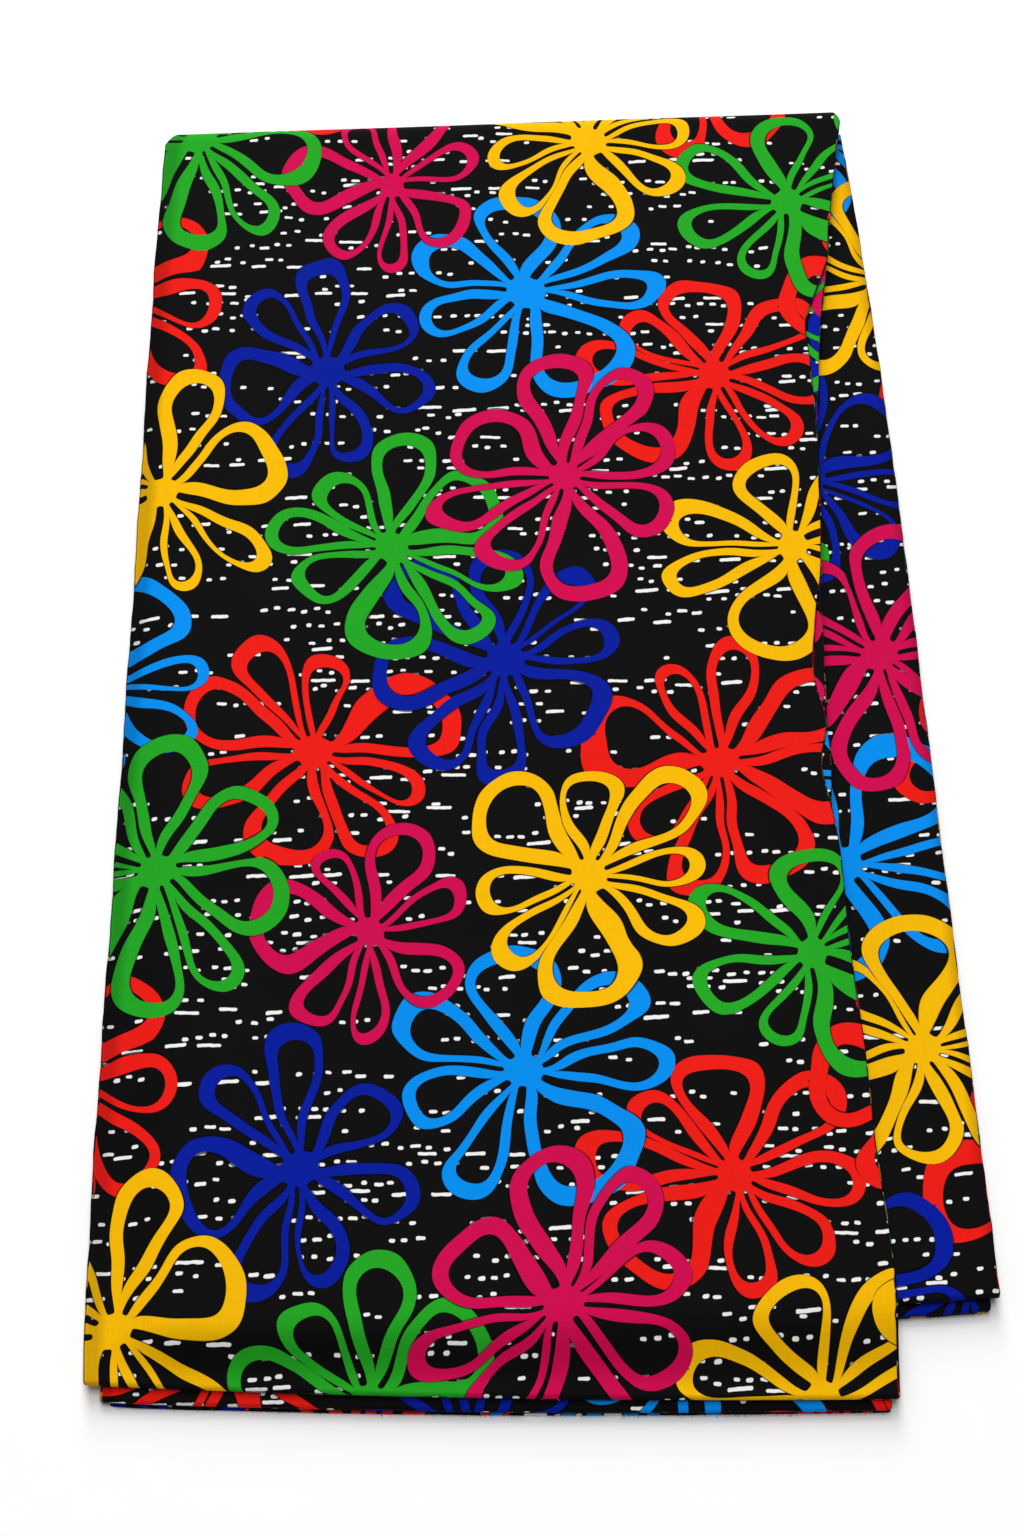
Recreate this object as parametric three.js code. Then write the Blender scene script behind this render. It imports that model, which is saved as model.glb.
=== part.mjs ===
// A length of African wax print cotton, six yards by 46 inches, folded into a flat pack and laid down. The
// cloth is folded twice along its length into a band of four plies, and the band is laid to and fro in five
// layers. The five layers are then folded in half over the far fold, which runs slightly aslant, so the
// lower half swings out to the right. All sizes are in millimetres. +X is right, +Y runs towards the far
// fold and +Z is up.
import * as THREE from 'three';

// The cloth as it is cut, and the band that it is folded into
const CUT_WIDTH = 1168;
const PLIES_IN_BAND = 4;
const BAND_WIDTH = CUT_WIDTH / PLIES_IN_BAND;

// One layer of the band, the air between two layers, and the height of one half of the pack
const LAYER = 1.6;
const AIR = 0.3;
const LAYERS_IN_HALF = 5;
const PITCH = LAYER + AIR;
const HALF_HEIGHT = LAYERS_IN_HALF * PITCH - AIR / 2;

// The far fold: its crest line, and how far the band's corners round away on it
const CREST = { atMiddle: 313.6, slope: 0.0501, leftRound: 5.5, rightRound: 3.2 };

// The front half: its straight edges, and its near edge with a slight bow
const FRONT = { left: -153.3, right: 141.8, nearLeft: -242.4, nearRight: -245.2, bow: 2.1 };

// The front half's edges, a row for each station from the fold's axis (0) to the near edge (1): how far the
// left edge, the panel's right edge, and the right edge of the layers under it are drawn in from the
// straight ones
const FRONT_EDGES = [
  { at: 0.000, left: 2.2, right: 1.3, under: 2.1 },
  { at: 0.048, left: 1.5, right: 5.0, under: 5.8 },
  { at: 0.098, left: 1.2, right: 8.2, under: 9.0 },
  { at: 0.131, left: 1.0, right: 9.7, under: 9.9 },
  { at: 0.155, left: 1.0, right: 14.4, under: 11.3 },
  { at: 0.177, left: 0.9, right: 19.0, under: 12.9 },
  { at: 0.225, left: 0.8, right: 18.3, under: 15.0 },
  { at: 0.309, left: 0.8, right: 16.7, under: 17.2 },
  { at: 0.389, left: 0.8, right: 17.5, under: 17.9 },
  { at: 0.454, left: 0.7, right: 21.2, under: 17.7 },
  { at: 0.487, left: 0.6, right: 22.0, under: 17.6 },
  { at: 0.520, left: 0.6, right: 18.1, under: 17.4 },
  { at: 0.554, left: 0.5, right: 20.4, under: 16.8 },
  { at: 0.596, left: 0.4, right: 16.2, under: 16.9 },
  { at: 0.676, left: 0.2, right: 13.0, under: 13.8 },
  { at: 0.767, left: 0.0, right: 8.7, under: 9.5 },
  { at: 0.831, left: 0.0, right: 6.1, under: 6.9 },
  { at: 0.884, left: 0.2, right: 3.4, under: 4.3 },
  { at: 0.925, left: 0.5, right: 1.3, under: 2.6 },
  { at: 1.000, left: 1.3, right: 0.4, under: 2.6 },
];

// The back half: its near edge with a slight bow, and how far its right edge stands out from the straight
// line
const BACK = { farRight: 141.5, nearRightX: 179.4, nearLeft: -222.0, nearRight: -207.8, bow: 2.0 };
const BACK_EDGES = [
  { at: 0.00, out: 0.0 },
  { at: 0.06, out: 1.1 },
  { at: 0.18, out: 2.5 },
  { at: 0.30, out: 2.9 },
  { at: 0.41, out: 2.6 },
  { at: 0.52, out: 2.0 },
  { at: 0.72, out: 0.8 },
  { at: 0.92, out: 0.2 },
  { at: 1.00, out: 0.0 },
];

// Where the front half runs past the back half it comes down to the floor: where the fall starts and ends
const FALL = { start: 2.0, sideEnd: 36.0, nearMargin: 5.0 };

// How far the lower folds and cut ends stand nearer than the fold above them, and how far their sides lie
// inside it
const FRONT_SECOND = { aheadLeft: 5.1, aheadRight: 3.1, insetLeft: 6.3, insetRight: 2.8 };
const FRONT_CUT = { aheadLeft: 5.5, aheadRight: 2.6, insetLeft: 9.7, insetRight: 2.9 };
const BACK_SECOND = { aheadLeft: 3.4, aheadRight: 3.9, insetLeft: 2.5, insetRight: 3.2 };
const BACK_CUT = { aheadLeft: 2.6, aheadRight: 3.2, insetLeft: 3.5, insetRight: 4.2 };

// How far the sides of the hidden layers and of the lowest stretch lie inside the sides of the stretch over
// them
const FRONT_HIDDEN = { insetLeft: 1.4, insetRightOnFold: 0.8 };
const BACK_HIDDEN = { insetLeft: 1.0, insetRight: 0.9 };
const UNDERSIDE = { insetLeft: 0.6, insetRight: 1.2 };

// How deep the near folds reach back into the pack, the stations along them from there to the near edge, and
// the share of a half's length where the rows of the tables of edges give way to them
const FOLD_DEPTH = 40;
const NEAR_STEPS = [FOLD_DEPTH, 33, 26.5, 20, 14, 8.5, 4.5];
const NEAR_FOLDS_START = 0.93;

// The places across the band, from its left edge (0) to its right (1), that the front and the back half take
const FRONT_COLUMNS = [0, 0.025, 0.05, 0.08, 0.115, 0.155, 0.2, 0.3, 0.5, 0.75, 1];
const BACK_COLUMNS = [0, 0.2, 0.5, 0.8, 1];

// The edge of a layer: how deep the groove between two plies is, between which shares of its height a ply's
// edge stands out, and how unevenly the plies end, with the turn from one ply and from one side to the next
const GROOVE = 0.8;
const PLY_EDGE = { low: 0.28, high: 0.72 };
const UNEVEN = { depth: 0.35, perPly: 2.4, perSide: 1.7 };

// An outline has two points on the edge of each ply, and one in the groove after it
const POINTS_A_PLY = 3;

// The turn of a near fold's nose in degrees, and the turn of the far fold
const NOSE_TURNS = [0, 35, 62, 80];
const FAR_FOLD_STEPS = 8;

// The ink that stands for the print on each stretch, and the cloth's matte finish
const INK = {
  black: 0x333333,
  red: 0xd91f2a,
  crimson: 0xc2185b,
  yellow: 0xf2a900,
  green: 0x239b3a,
  sky: 0x1f8fe0,
  royal: 0x1b2a8a,
};
const ROUGHNESS = 0.82;

const mix = (a, b, t) => a + (b - a) * t;
const radians = (degrees) => degrees * Math.PI / 180;

// A rise from 0 to 1 between two places, level at both
function easedRise(value, start, end) {
  const t = Math.min(1, Math.max(0, (value - start) / (end - start)));
  return t * t * (3 - 2 * t);
}

// One column of a table, read between its rows
function readRows(rows, column, at) {
  const next = Math.max(1, rows.findIndex((row) => row.at >= at));
  const before = rows[next - 1];
  const after = rows[next];
  return mix(before[column], after[column], (at - before.at) / (after.at - before.at));
}

// The axis of the far fold, in plan
const axisY = (x) => CREST.atMiddle + x * CREST.slope - HALF_HEIGHT;

// The edges of the two halves, from the fold's axis (0) to their near edge (1)
const frontLeft = (at) => FRONT.left + readRows(FRONT_EDGES, 'left', at);
const frontRight = (at) => FRONT.right - readRows(FRONT_EDGES, 'right', at);
const backRight = (at) => mix(BACK.farRight, BACK.nearRightX, at) + readRows(BACK_EDGES, 'out', at);
const backLeft = (at) => backRight(at) - BAND_WIDTH * Math.cos(Math.atan(CREST.slope));

// The near edges, from the left edge (0) to the right one (1)
function nearEdge(half, across) {
  return mix(half.nearLeft, half.nearRight, across) - half.bow * Math.sin(Math.PI * across);
}
const frontNear = (across) => nearEdge(FRONT, across);
const backNear = (across) => nearEdge(BACK, across);

// The height that the front half is carried at: on the back half, and on the floor past its left and near
// edges
function lift(x, y) {
  const backAt = Math.min(1, Math.max(0, (axisY(x) - y) / (axisY(x) - backNear(0.5))));
  const backAcross = Math.min(1, Math.max(0, (x - backLeft(1)) / BAND_WIDTH));
  const frontAcross = Math.min(1, Math.max(0, (x - FRONT.left) / (FRONT.right - FRONT.left)));
  const pastLeft = backLeft(backAt) - x;
  const pastNear = backNear(backAcross) - y;
  const room = backNear(backAcross) - frontNear(frontAcross);
  const sideFall = easedRise(pastLeft, FALL.start, FALL.sideEnd);
  const nearFall = easedRise(pastNear, FALL.start, room - FALL.nearMargin);
  return (HALF_HEIGHT + AIR / 2) * (1 - sideFall) * (1 - nearFall) - AIR / 2;
}

// A point of the front half. up is its height over the middle of the pack
function frontPoint(station, across, side, up) {
  const x = mix(frontLeft(station.at), frontRight(station.at), across) + side;
  const y = mix(axisY(x), frontNear(across), station.at) - station.ahead(across);
  return new THREE.Vector3(x, y, lift(x, y) + up);
}

// A point of the back half. up is its depth under the middle of the pack
function backPoint(station, across, side, up) {
  const x = mix(backLeft(station.at), backRight(station.at), across) + side;
  const y = mix(axisY(x), backNear(across), station.at) - station.ahead(across);
  return new THREE.Vector3(x, y, HALF_HEIGHT - up);
}

// A point on the far fold. up is its distance from the fold's axis
function foldPoint(station, across, side, up) {
  const share = station.turn / Math.PI;
  const out = Math.sin(station.turn);
  const left = mix(frontLeft(0), backLeft(0), share) + CREST.leftRound * out;
  const right = mix(frontRight(0), backRight(0), share) - CREST.rightRound * out;
  const x = mix(left, right, across) + side;
  const slant = Math.atan(CREST.slope);
  const reach = up * out;
  return new THREE.Vector3(
    x - Math.sin(slant) * reach,
    axisY(x) + Math.cos(slant) * reach,
    HALF_HEIGHT + up * Math.cos(station.turn),
  );
}

const POINT_OF = { front: frontPoint, back: backPoint, fold: foldPoint };
const level = () => 0;

// Stations along the front half, from the near folds to the far fold
function frontStations(low, high, sides = {}) {
  return FRONT_EDGES.filter((row) => row.at < NEAR_FOLDS_START).map((row) => ({
    half: 'front', at: row.at, ahead: level, low, high,
    left: sides.left ? sides.left(row) : 0,
    right: sides.right ? sides.right(row) : 0,
  })).reverse();
}

// The place along a half, as a share of its length, of a distance from its near edge
function shareFromNear(half, distance) {
  const length = half === 'front' ? axisY(0) - frontNear(0.5) : axisY(0) - backNear(0.5);
  return 1 - distance / length;
}

// Stations along the near folds, from FOLD_DEPTH to the nose, whose tip stands ahead of the half's near
// edge. The thickness runs from low to high, and rounds off at the nose
function nearStations(half, low, high, lead, sides, round = true) {
  const radius = (high - low) / 2;
  const middle = (high + low) / 2;
  const ahead = (across) => mix(lead.left, lead.right, across);
  const straight = NEAR_STEPS.map((distance) => ({
    half, at: shareFromNear(half, distance), ahead: level, low, high, ...sides,
  }));
  const turns = round ? NOSE_TURNS : [0];
  const tip = turns.map((degrees) => {
    const reach = round ? radius * (1 - Math.sin(radians(degrees))) : 0;
    const thick = radius * Math.cos(radians(degrees));
    return {
      half, at: 1, ahead: (across) => ahead(across) - reach,
      low: middle - thick, high: middle + thick, ...sides,
    };
  });
  return straight.concat(tip);
}

// Stations round the far fold
function foldStations(low, high, sides = { left: 0, right: 0 }) {
  return Array.from({ length: FAR_FOLD_STEPS }, (_, step) => ({
    half: 'fold', turn: Math.PI * (step + 1) / FAR_FOLD_STEPS, low, high, ...sides,
  }));
}

// Stations along the back half from the far fold to the near folds
function backStations(low, high, sides) {
  const rows = BACK_EDGES.filter((row) => row.at < NEAR_FOLDS_START);
  return rows.map((row, index) => ({
    half: 'back', at: row.at, ahead: index === 0 ? () => AIR : level, low, high, ...sides,
  }));
}

// The outline of a layer across the band, as places across, offsets to the side, and heights: along the
// lower face, up the right edge with a rounded end for each ply, back along the upper face, and down the
// left edge
function layerOutline(station, columns, plies) {
  const { low, high } = station;
  const ply = (high - low) / plies;
  const groove = Math.min(GROOVE, (high - low) / 2);
  const edge = (across, base, sign) => {
    const points = [];
    for (let index = 0; index < plies; index += 1) {
      const turn = UNEVEN.perPly * index + UNEVEN.perSide * across + sign;
      const side = sign * (base - UNEVEN.depth * (1 + Math.sin(turn)));
      points.push({ across, side, up: low + ply * (index + PLY_EDGE.low) });
      points.push({ across, side, up: low + ply * (index + PLY_EDGE.high) });
      const inGroove = { across, side: sign * (base - groove), up: low + ply * (index + 1) };
      if (index < plies - 1) points.push(inGroove);
    }
    return points;
  };
  const face = (up) => columns.map((across) => {
    const left = across === 0 ? groove - station.left : 0;
    const right = across === 1 ? station.right - groove : 0;
    return { across, side: left + right, up };
  });
  return [
    ...face(low),
    ...edge(1, station.right, 1),
    ...face(high).reverse(),
    ...edge(0, station.left, -1).reverse(),
  ];
}

// The triangles that close a swept layer's end, in the order of its outline. Each end is a ladder between
// its lower and upper face, with a small quad for each ply's rounded edge
function endFaces(columnCount, plies) {
  const upperRight = columnCount + POINTS_A_PLY * plies - 1;
  const leftStart = upperRight + columnCount;
  const lower = (column) => column;
  const upper = (column) => upperRight + columnCount - 1 - column;
  const rightEdge = (index) => columnCount + index;
  const leftEdge = (index) => leftStart + POINTS_A_PLY * plies - 2 - index;
  const grooveAt = (edge, column, ply) => {
    if (ply === 0) return lower(column);
    if (ply === plies) return upper(column);
    return edge(POINTS_A_PLY * ply - 1);
  };
  const last = columnCount - 1;
  const rightGroove = (ply) => grooveAt(rightEdge, last, ply);
  const leftGroove = (ply) => grooveAt(leftEdge, 0, ply);
  const faces = [];
  for (let ply = 0; ply < plies; ply += 1) {
    const below = POINTS_A_PLY * ply;
    const above = below + 1;
    faces.push([rightGroove(ply), rightEdge(below), rightEdge(above)]);
    faces.push([rightGroove(ply), rightEdge(above), rightGroove(ply + 1)]);
    faces.push([leftGroove(ply), leftEdge(above), leftEdge(below)]);
    faces.push([leftGroove(ply), leftGroove(ply + 1), leftEdge(above)]);
    faces.push([lower(last - 1), rightGroove(ply), rightGroove(ply + 1)]);
    faces.push([lower(1), leftGroove(ply + 1), leftGroove(ply)]);
  }
  faces.push([lower(last - 1), upper(last), upper(last - 1)]);
  faces.push([lower(1), upper(1), upper(0)]);
  for (let column = 1; column < last - 1; column += 1) {
    faces.push([lower(column), lower(column + 1), upper(column + 1)]);
    faces.push([lower(column), upper(column + 1), upper(column)]);
  }
  return faces;
}

// One closed solid, swept through its stations
function sweepLayer(name, stations, columns, plies, colour) {
  const outlines = stations.map((station) => layerOutline(station, columns, plies));
  const count = outlines[0].length;
  const positions = [];
  stations.forEach((station, row) => {
    for (const point of outlines[row]) {
      const placed = POINT_OF[station.half](station, point.across, point.side, point.up);
      positions.push(placed.x, placed.y, placed.z);
    }
  });
  // The upper and the lower faces are split along the same diagonals in plan, so that neighbours stay
  // parallel
  const upperStart = columns.length + POINTS_A_PLY * plies - 1;
  const upperEnd = upperStart + columns.length - 1;
  const faces = [];
  for (let row = 0; row < stations.length - 1; row += 1) {
    for (let index = 0; index < count; index += 1) {
      const a = row * count + index;
      const b = row * count + (index + 1) % count;
      if (index >= upperStart && index < upperEnd) faces.push(a, a + count, b, b, a + count, b + count);
      else faces.push(a, a + count, b + count, a, b + count, b);
    }
  }
  const end = (stations.length - 1) * count;
  for (const [a, b, c] of endFaces(columns.length, plies)) {
    faces.push(a, b, c);
    faces.push(end + a, end + c, end + b);
  }
  const geometry = new THREE.BufferGeometry();
  geometry.setAttribute('position', new THREE.Float32BufferAttribute(positions, 3));
  geometry.setIndex(faces);
  geometry.computeVertexNormals();
  const material = new THREE.MeshStandardMaterial({ color: colour, roughness: ROUGHNESS, metalness: 0 });
  const mesh = new THREE.Mesh(geometry, material);
  mesh.name = name;
  return mesh;
}

// The lower and upper side of a run of layers, counted out from the middle of the pack
const lowOf = (layer) => AIR / 2 + layer * PITCH;
const highOf = (layer) => lowOf(layer) + LAYER;

// The sides of the layers that lie under the front panel
const underSides = {
  left: () => -FRONT_HIDDEN.insetLeft,
  right: (row) => row.right - row.under,
};

// The top stretch of the cloth: the near fold's lip, over the top, and round the far fold to the floor
function frontPanel() {
  const lip = nearStations('front', lowOf(3), highOf(4), { left: 0, right: 0 }, { left: 0, right: 0 });
  const stations = [
    ...lip.reverse(),
    ...frontStations(lowOf(4), highOf(4)),
    ...foldStations(lowOf(4), highOf(4)),
  ];
  return sweepLayer('front_panel', stations, FRONT_COLUMNS, 2, INK.red);
}

// The hidden layers of the front half, round the far fold to the underside
function frontHiddenLayers() {
  const onFold = { left: -FRONT_HIDDEN.insetLeft, right: -FRONT_HIDDEN.insetRightOnFold };
  const stations = [
    ...frontStations(lowOf(0), highOf(3), underSides),
    ...foldStations(lowOf(0), highOf(3), onFold),
  ];
  return sweepLayer('front_hidden_layers', stations, FRONT_COLUMNS, 4, INK.royal);
}

// The second fold at the near end of the front half
function frontSecondFold() {
  const lead = { left: FRONT_SECOND.aheadLeft, right: FRONT_SECOND.aheadRight };
  const sides = { left: -FRONT_SECOND.insetLeft, right: -FRONT_SECOND.insetRight };
  const stations = nearStations('front', lowOf(1), highOf(2), lead, sides).reverse();
  return sweepLayer('front_second_fold', stations, FRONT_COLUMNS, 2, INK.yellow);
}

// The lowest layer of the front half, with its cut end
function frontCutEnd() {
  const lead = { left: FRONT_CUT.aheadLeft, right: FRONT_CUT.aheadRight };
  const sides = { left: -FRONT_CUT.insetLeft, right: -FRONT_CUT.insetRight };
  const stations = nearStations('front', lowOf(0), highOf(0), lead, sides, false).reverse();
  return sweepLayer('front_cut_end', stations, FRONT_COLUMNS, 2, INK.green);
}

// The top stretch of the back half, with its near fold
function backPanel() {
  const sides = { left: 0, right: 0 };
  const stations = [
    ...backStations(lowOf(0), highOf(0), sides),
    ...nearStations('back', lowOf(0), highOf(1), { left: 0, right: 0 }, sides),
  ];
  return sweepLayer('back_panel', stations, BACK_COLUMNS, 2, INK.sky);
}

// The hidden layers of the back half
function backHiddenLayers() {
  const sides = { left: -BACK_HIDDEN.insetLeft, right: -BACK_HIDDEN.insetRight };
  const stations = backStations(lowOf(1), highOf(3), sides);
  return sweepLayer('back_hidden_layers', stations, BACK_COLUMNS, 3, INK.royal);
}

// The second fold at the near end of the back half
function backSecondFold() {
  const lead = { left: BACK_SECOND.aheadLeft, right: BACK_SECOND.aheadRight };
  const sides = { left: -BACK_SECOND.insetLeft, right: -BACK_SECOND.insetRight };
  const stations = nearStations('back', lowOf(2), highOf(3), lead, sides);
  return sweepLayer('back_second_fold', stations, BACK_COLUMNS, 2, INK.crimson);
}

// The stretch that lies on the floor, with its cut end
function undersidePanel() {
  const sides = { left: -UNDERSIDE.insetLeft, right: -UNDERSIDE.insetRight };
  const lead = { left: BACK_CUT.aheadLeft, right: BACK_CUT.aheadRight };
  const inset = { left: -BACK_CUT.insetLeft, right: -BACK_CUT.insetRight };
  const stations = [
    ...backStations(lowOf(4), highOf(4), sides),
    ...nearStations('back', lowOf(4), highOf(4), lead, inset, false),
  ];
  return sweepLayer('underside_panel', stations, BACK_COLUMNS, 2, INK.black);
}

// The whole pack, moved so that the middle of its box in plan is the origin
function foldedCloth() {
  const pack = new THREE.Group();
  pack.name = 'folded_cloth';
  pack.add(
    frontPanel(), frontSecondFold(), frontCutEnd(), frontHiddenLayers(),
    backPanel(), backSecondFold(), backHiddenLayers(), undersidePanel(),
  );
  const middle = new THREE.Box3().setFromObject(pack).getCenter(new THREE.Vector3());
  pack.position.set(-middle.x, -middle.y, 0);
  return pack;
}

export default foldedCloth();
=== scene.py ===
# Builds a folded length of wax print cotton: its layers as cloth, its print, its cut ends and the stage it
# lies on. Plan sizes are in millimetres in the pack's own plan, and the meshes are in metres in the packed
# model's frame.
import math
from dataclasses import dataclass

import bpy
import numpy as np
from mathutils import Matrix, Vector


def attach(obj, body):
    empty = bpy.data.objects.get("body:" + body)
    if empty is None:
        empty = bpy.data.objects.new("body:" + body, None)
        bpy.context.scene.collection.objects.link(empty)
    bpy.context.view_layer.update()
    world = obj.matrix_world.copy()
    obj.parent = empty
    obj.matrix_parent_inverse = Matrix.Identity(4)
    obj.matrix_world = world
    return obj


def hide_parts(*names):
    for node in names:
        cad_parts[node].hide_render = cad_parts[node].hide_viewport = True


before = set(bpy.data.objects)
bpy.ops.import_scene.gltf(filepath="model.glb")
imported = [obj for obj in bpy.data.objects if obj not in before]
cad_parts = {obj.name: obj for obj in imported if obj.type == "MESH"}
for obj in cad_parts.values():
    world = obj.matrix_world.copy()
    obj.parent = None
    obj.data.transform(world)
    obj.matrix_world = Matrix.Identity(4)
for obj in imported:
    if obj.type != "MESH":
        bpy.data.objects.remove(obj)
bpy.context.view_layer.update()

bl_info = {
    "name": "Folded wax print cloth",
    "version": (1, 0, 0),
    "blender": (4, 5, 0),
    "location": "View3D > Sidebar > Wax print",
    "description": "Builds a folded length of wax print cotton with its layers, print, cut ends and stage",
    "category": "Object",
}

MM = 0.001

# The cloth as it is cut, and the band that it is folded into
CUT_WIDTH = 1168.0
PLIES_IN_BAND = 4
BAND_WIDTH = CUT_WIDTH / PLIES_IN_BAND

# One layer of the band, the air between two layers, and the height of one half of the pack
LAYER = 1.6
AIR = 0.3
LAYERS_IN_HALF = 5
PITCH = LAYER + AIR
HALF_HEIGHT = LAYERS_IN_HALF * PITCH - AIR / 2

# The point on the cloth that the camera looks at, in metres
CAMERA_TARGET = (-0.0125, -0.0358, 0.018)

# The middle of the pack's box in plan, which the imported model's frame has at its origin
PLAN_MIDDLE = (13.065, 35.239)

# The far fold: its crest line, and how far the band's corners round away on it
CREST_AT_MIDDLE = 313.6
CREST_SLOPE = 0.0501
CREST_LEFT_ROUND = 5.5
CREST_RIGHT_ROUND = 3.2

# The front half: its straight edges, and its near edge with a slight bow
FRONT_LEFT = -153.3
FRONT_RIGHT = 141.8
FRONT_NEAR_LEFT = -242.4
FRONT_NEAR_RIGHT = -245.2
FRONT_NEAR_BOW = 2.1

# The front half's edges, a row for each station from the fold's axis (0) to the near edge (1): how far the
# left edge, the panel's right edge, and the right edge of the layers under it are drawn in from the straight
# ones
FRONT_EDGE_COLUMNS = ("at", "left", "right", "under")
FRONT_EDGES = (
    (0.000, 2.2, 1.3, 2.1),
    (0.048, 1.5, 5.0, 5.8),
    (0.098, 1.2, 8.2, 9.0),
    (0.131, 1.0, 9.7, 9.9),
    (0.155, 1.0, 14.4, 11.3),
    (0.177, 0.9, 19.0, 12.9),
    (0.225, 0.8, 18.3, 15.0),
    (0.309, 0.8, 16.7, 17.2),
    (0.389, 0.8, 17.5, 17.9),
    (0.454, 0.7, 21.2, 17.7),
    (0.487, 0.6, 22.0, 17.6),
    (0.520, 0.6, 18.1, 17.4),
    (0.554, 0.5, 20.4, 16.8),
    (0.596, 0.4, 16.2, 16.9),
    (0.676, 0.2, 13.0, 13.8),
    (0.767, 0.0, 8.7, 9.5),
    (0.831, 0.0, 6.1, 6.9),
    (0.884, 0.2, 3.4, 4.3),
    (0.925, 0.5, 1.3, 2.6),
    (1.000, 1.3, 0.4, 2.6),
)

# The back half: its near edge with a slight bow, and how far its right edge stands out from the straight line
BACK_FAR_RIGHT = 141.5
BACK_NEAR_RIGHT_X = 179.4
BACK_NEAR_LEFT = -222.0
BACK_NEAR_RIGHT = -207.8
BACK_NEAR_BOW = 2.0
BACK_EDGE_COLUMNS = ("at", "out")
BACK_EDGES = (
    (0.00, 0.0),
    (0.06, 1.1),
    (0.18, 2.5),
    (0.30, 2.9),
    (0.41, 2.6),
    (0.52, 2.0),
    (0.72, 0.8),
    (0.92, 0.2),
    (1.00, 0.0),
)

# Where the front half runs past the back half it comes down to the floor: where the fall starts and ends
FALL_START = 2.0
FALL_SIDE_END = 36.0
FALL_NEAR_MARGIN = 5.0

# How far the lower folds and cut ends stand nearer than the fold above them, and how far their sides lie
# inside it
LEAD_COLUMNS = ("ahead_left", "ahead_right", "inset_left", "inset_right")
LEAD_ROWS = {
    "front_second": (5.1, 3.1, 6.3, 2.8),
    "front_cut": (5.5, 2.6, 9.7, 2.9),
    "back_second": (3.4, 3.9, 2.5, 3.2),
    "back_cut": (2.6, 3.2, 3.5, 4.2),
    "lip": (0.0, 0.0, 0.0, 0.0),
}
LEADS = {name: dict(zip(LEAD_COLUMNS, row)) for name, row in LEAD_ROWS.items()}

# How deep the near folds reach back into the pack, and how round their corners are in plan
FOLD_DEPTH = 40.0
CORNER_RADIUS = 1.6

# Soft creases on the top of each half, in plan: from x and y, to x and y, height (a trough is below 0), half
# width
FRONT_CREASES = (
    (-152.0, -218.0, -128.0, -219.5, -0.40, 2.2),
    (38.0, -241.2, 118.0, -240.6, -0.55, 1.5),
    (118.0, -235.5, 128.0, -237.0, -0.30, 1.6),
    (122.0, 216.0, 92.0, 246.0, -0.55, 9.0),
    (124.0, 178.0, 84.0, 196.0, 0.40, 11.0),
    (122.0, 46.0, 70.0, 60.0, -0.35, 10.0),
    (124.0, 8.0, 62.0, -14.0, 0.35, 12.0),
    (-20.0, 300.0, -34.0, 120.0, 0.30, 16.0),
    (-108.0, 250.0, -100.0, -40.0, -0.28, 15.0),
    (40.0, 90.0, 18.0, -150.0, 0.30, 18.0),
    (-60.0, -120.0, -30.0, -225.0, -0.30, 12.0),
    (96.0, -90.0, 82.0, -215.0, 0.30, 10.0),
)
BACK_CREASES = (
    (150.0, 190.0, 158.0, 20.0, 0.25, 5.0),
    (166.0, -40.0, 158.0, -150.0, -0.22, 5.0),
    (146.0, -188.0, 176.0, -184.0, -0.20, 3.0),
)

# The print's repeat in mm
REPEAT_WIDTH = 332.0
REPEAT_LENGTH = 346.0
# The print has four layers of looped flowers, the lowest first: how far each is shifted in the repeat, its
# widest flower's radius, the seed that its flowers are drawn with, and the inks of its four flowers
FLOWER_CELLS = 2
FLOWER_JITTER = 9.0
FLOWER_LAYERS = (
    ((0.0, 0.0), 63.0, 3.0, ("royal", "red", "red", "red")),
    ((83.0, 30.0), 63.0, 17.0, ("sky", "red", "royal", "sky")),
    ((20.0, 88.0), 59.0, 29.0, ("crimson", "green", "green", "yellow")),
    ((104.0, 117.0), 61.0, 41.0, ("yellow", "green", "crimson", "yellow")),
)

# Painted shade at the cloth's sides, where the plies round away: how dark it is painted on the plies' ends,
# and on the narrow faces beside them, and how much of the colour the darkest loses
PAINTED_PLY_SHADE = 1.0
PAINTED_FACE_SHADE = 0.5
PAINTED_SIDE_SHADE = 0.62

# A flower: the places of the four in a repeat, its size as a share of the widest, its number of loops, how
# uneven they are round it, and the room that its jitter takes. A pair of numbers, here and below, is picked
# from by noise.
FLOWER_PLACES = ("Near_left", "Near_right", "Far_left", "Far_right")
FLOWER_SIZE = (1.0, 0.8)
FLOWER_SEED_STEP = 5.7
LOOPS_LEAST = 8.0
LOOPS_MORE = (-0.3, 1.2)
UNEVEN_TWOFOLD = 0.15
UNEVEN_THREEFOLD = 0.09
TWOFOLD_SPREAD = 29.0
THREEFOLD_SPREAD = 1.7
JITTER_ROOM = 1.05

# A loop of a flower: the seed that it is drawn with, its length as a share of the flower's radius, its lean
# and width, how it narrows to its point, the hole in it, and the heart that joins the loops
LOOP_SEED_SPREAD = 97.0
LOOP_SEED = 0.37
LOOP_LENGTH = (1.06, 0.78)
LOOP_LEAN = (-0.05, 0.05)
LOOP_WIDTH = (0.66, 0.86)
OUTER_TAPER = 1.5
HOLE_TAPER = 1.65
HOLE_START = (0.15, 0.24)
HOLE_END = (0.86, 0.90)
HOLE_WIDTH = (0.65, 0.73)
HOLE_SHIFT = 0.075
HEART_RADIUS = 0.12
HEART_BLEND = 0.035

# The edges of the inks in metres, and the thin dark line round each flower
INK_EDGES = (-0.00012, 0.00012)
RIM_EDGES = (-0.00066, -0.0004)
RIM_SHADE = 0.12

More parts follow.
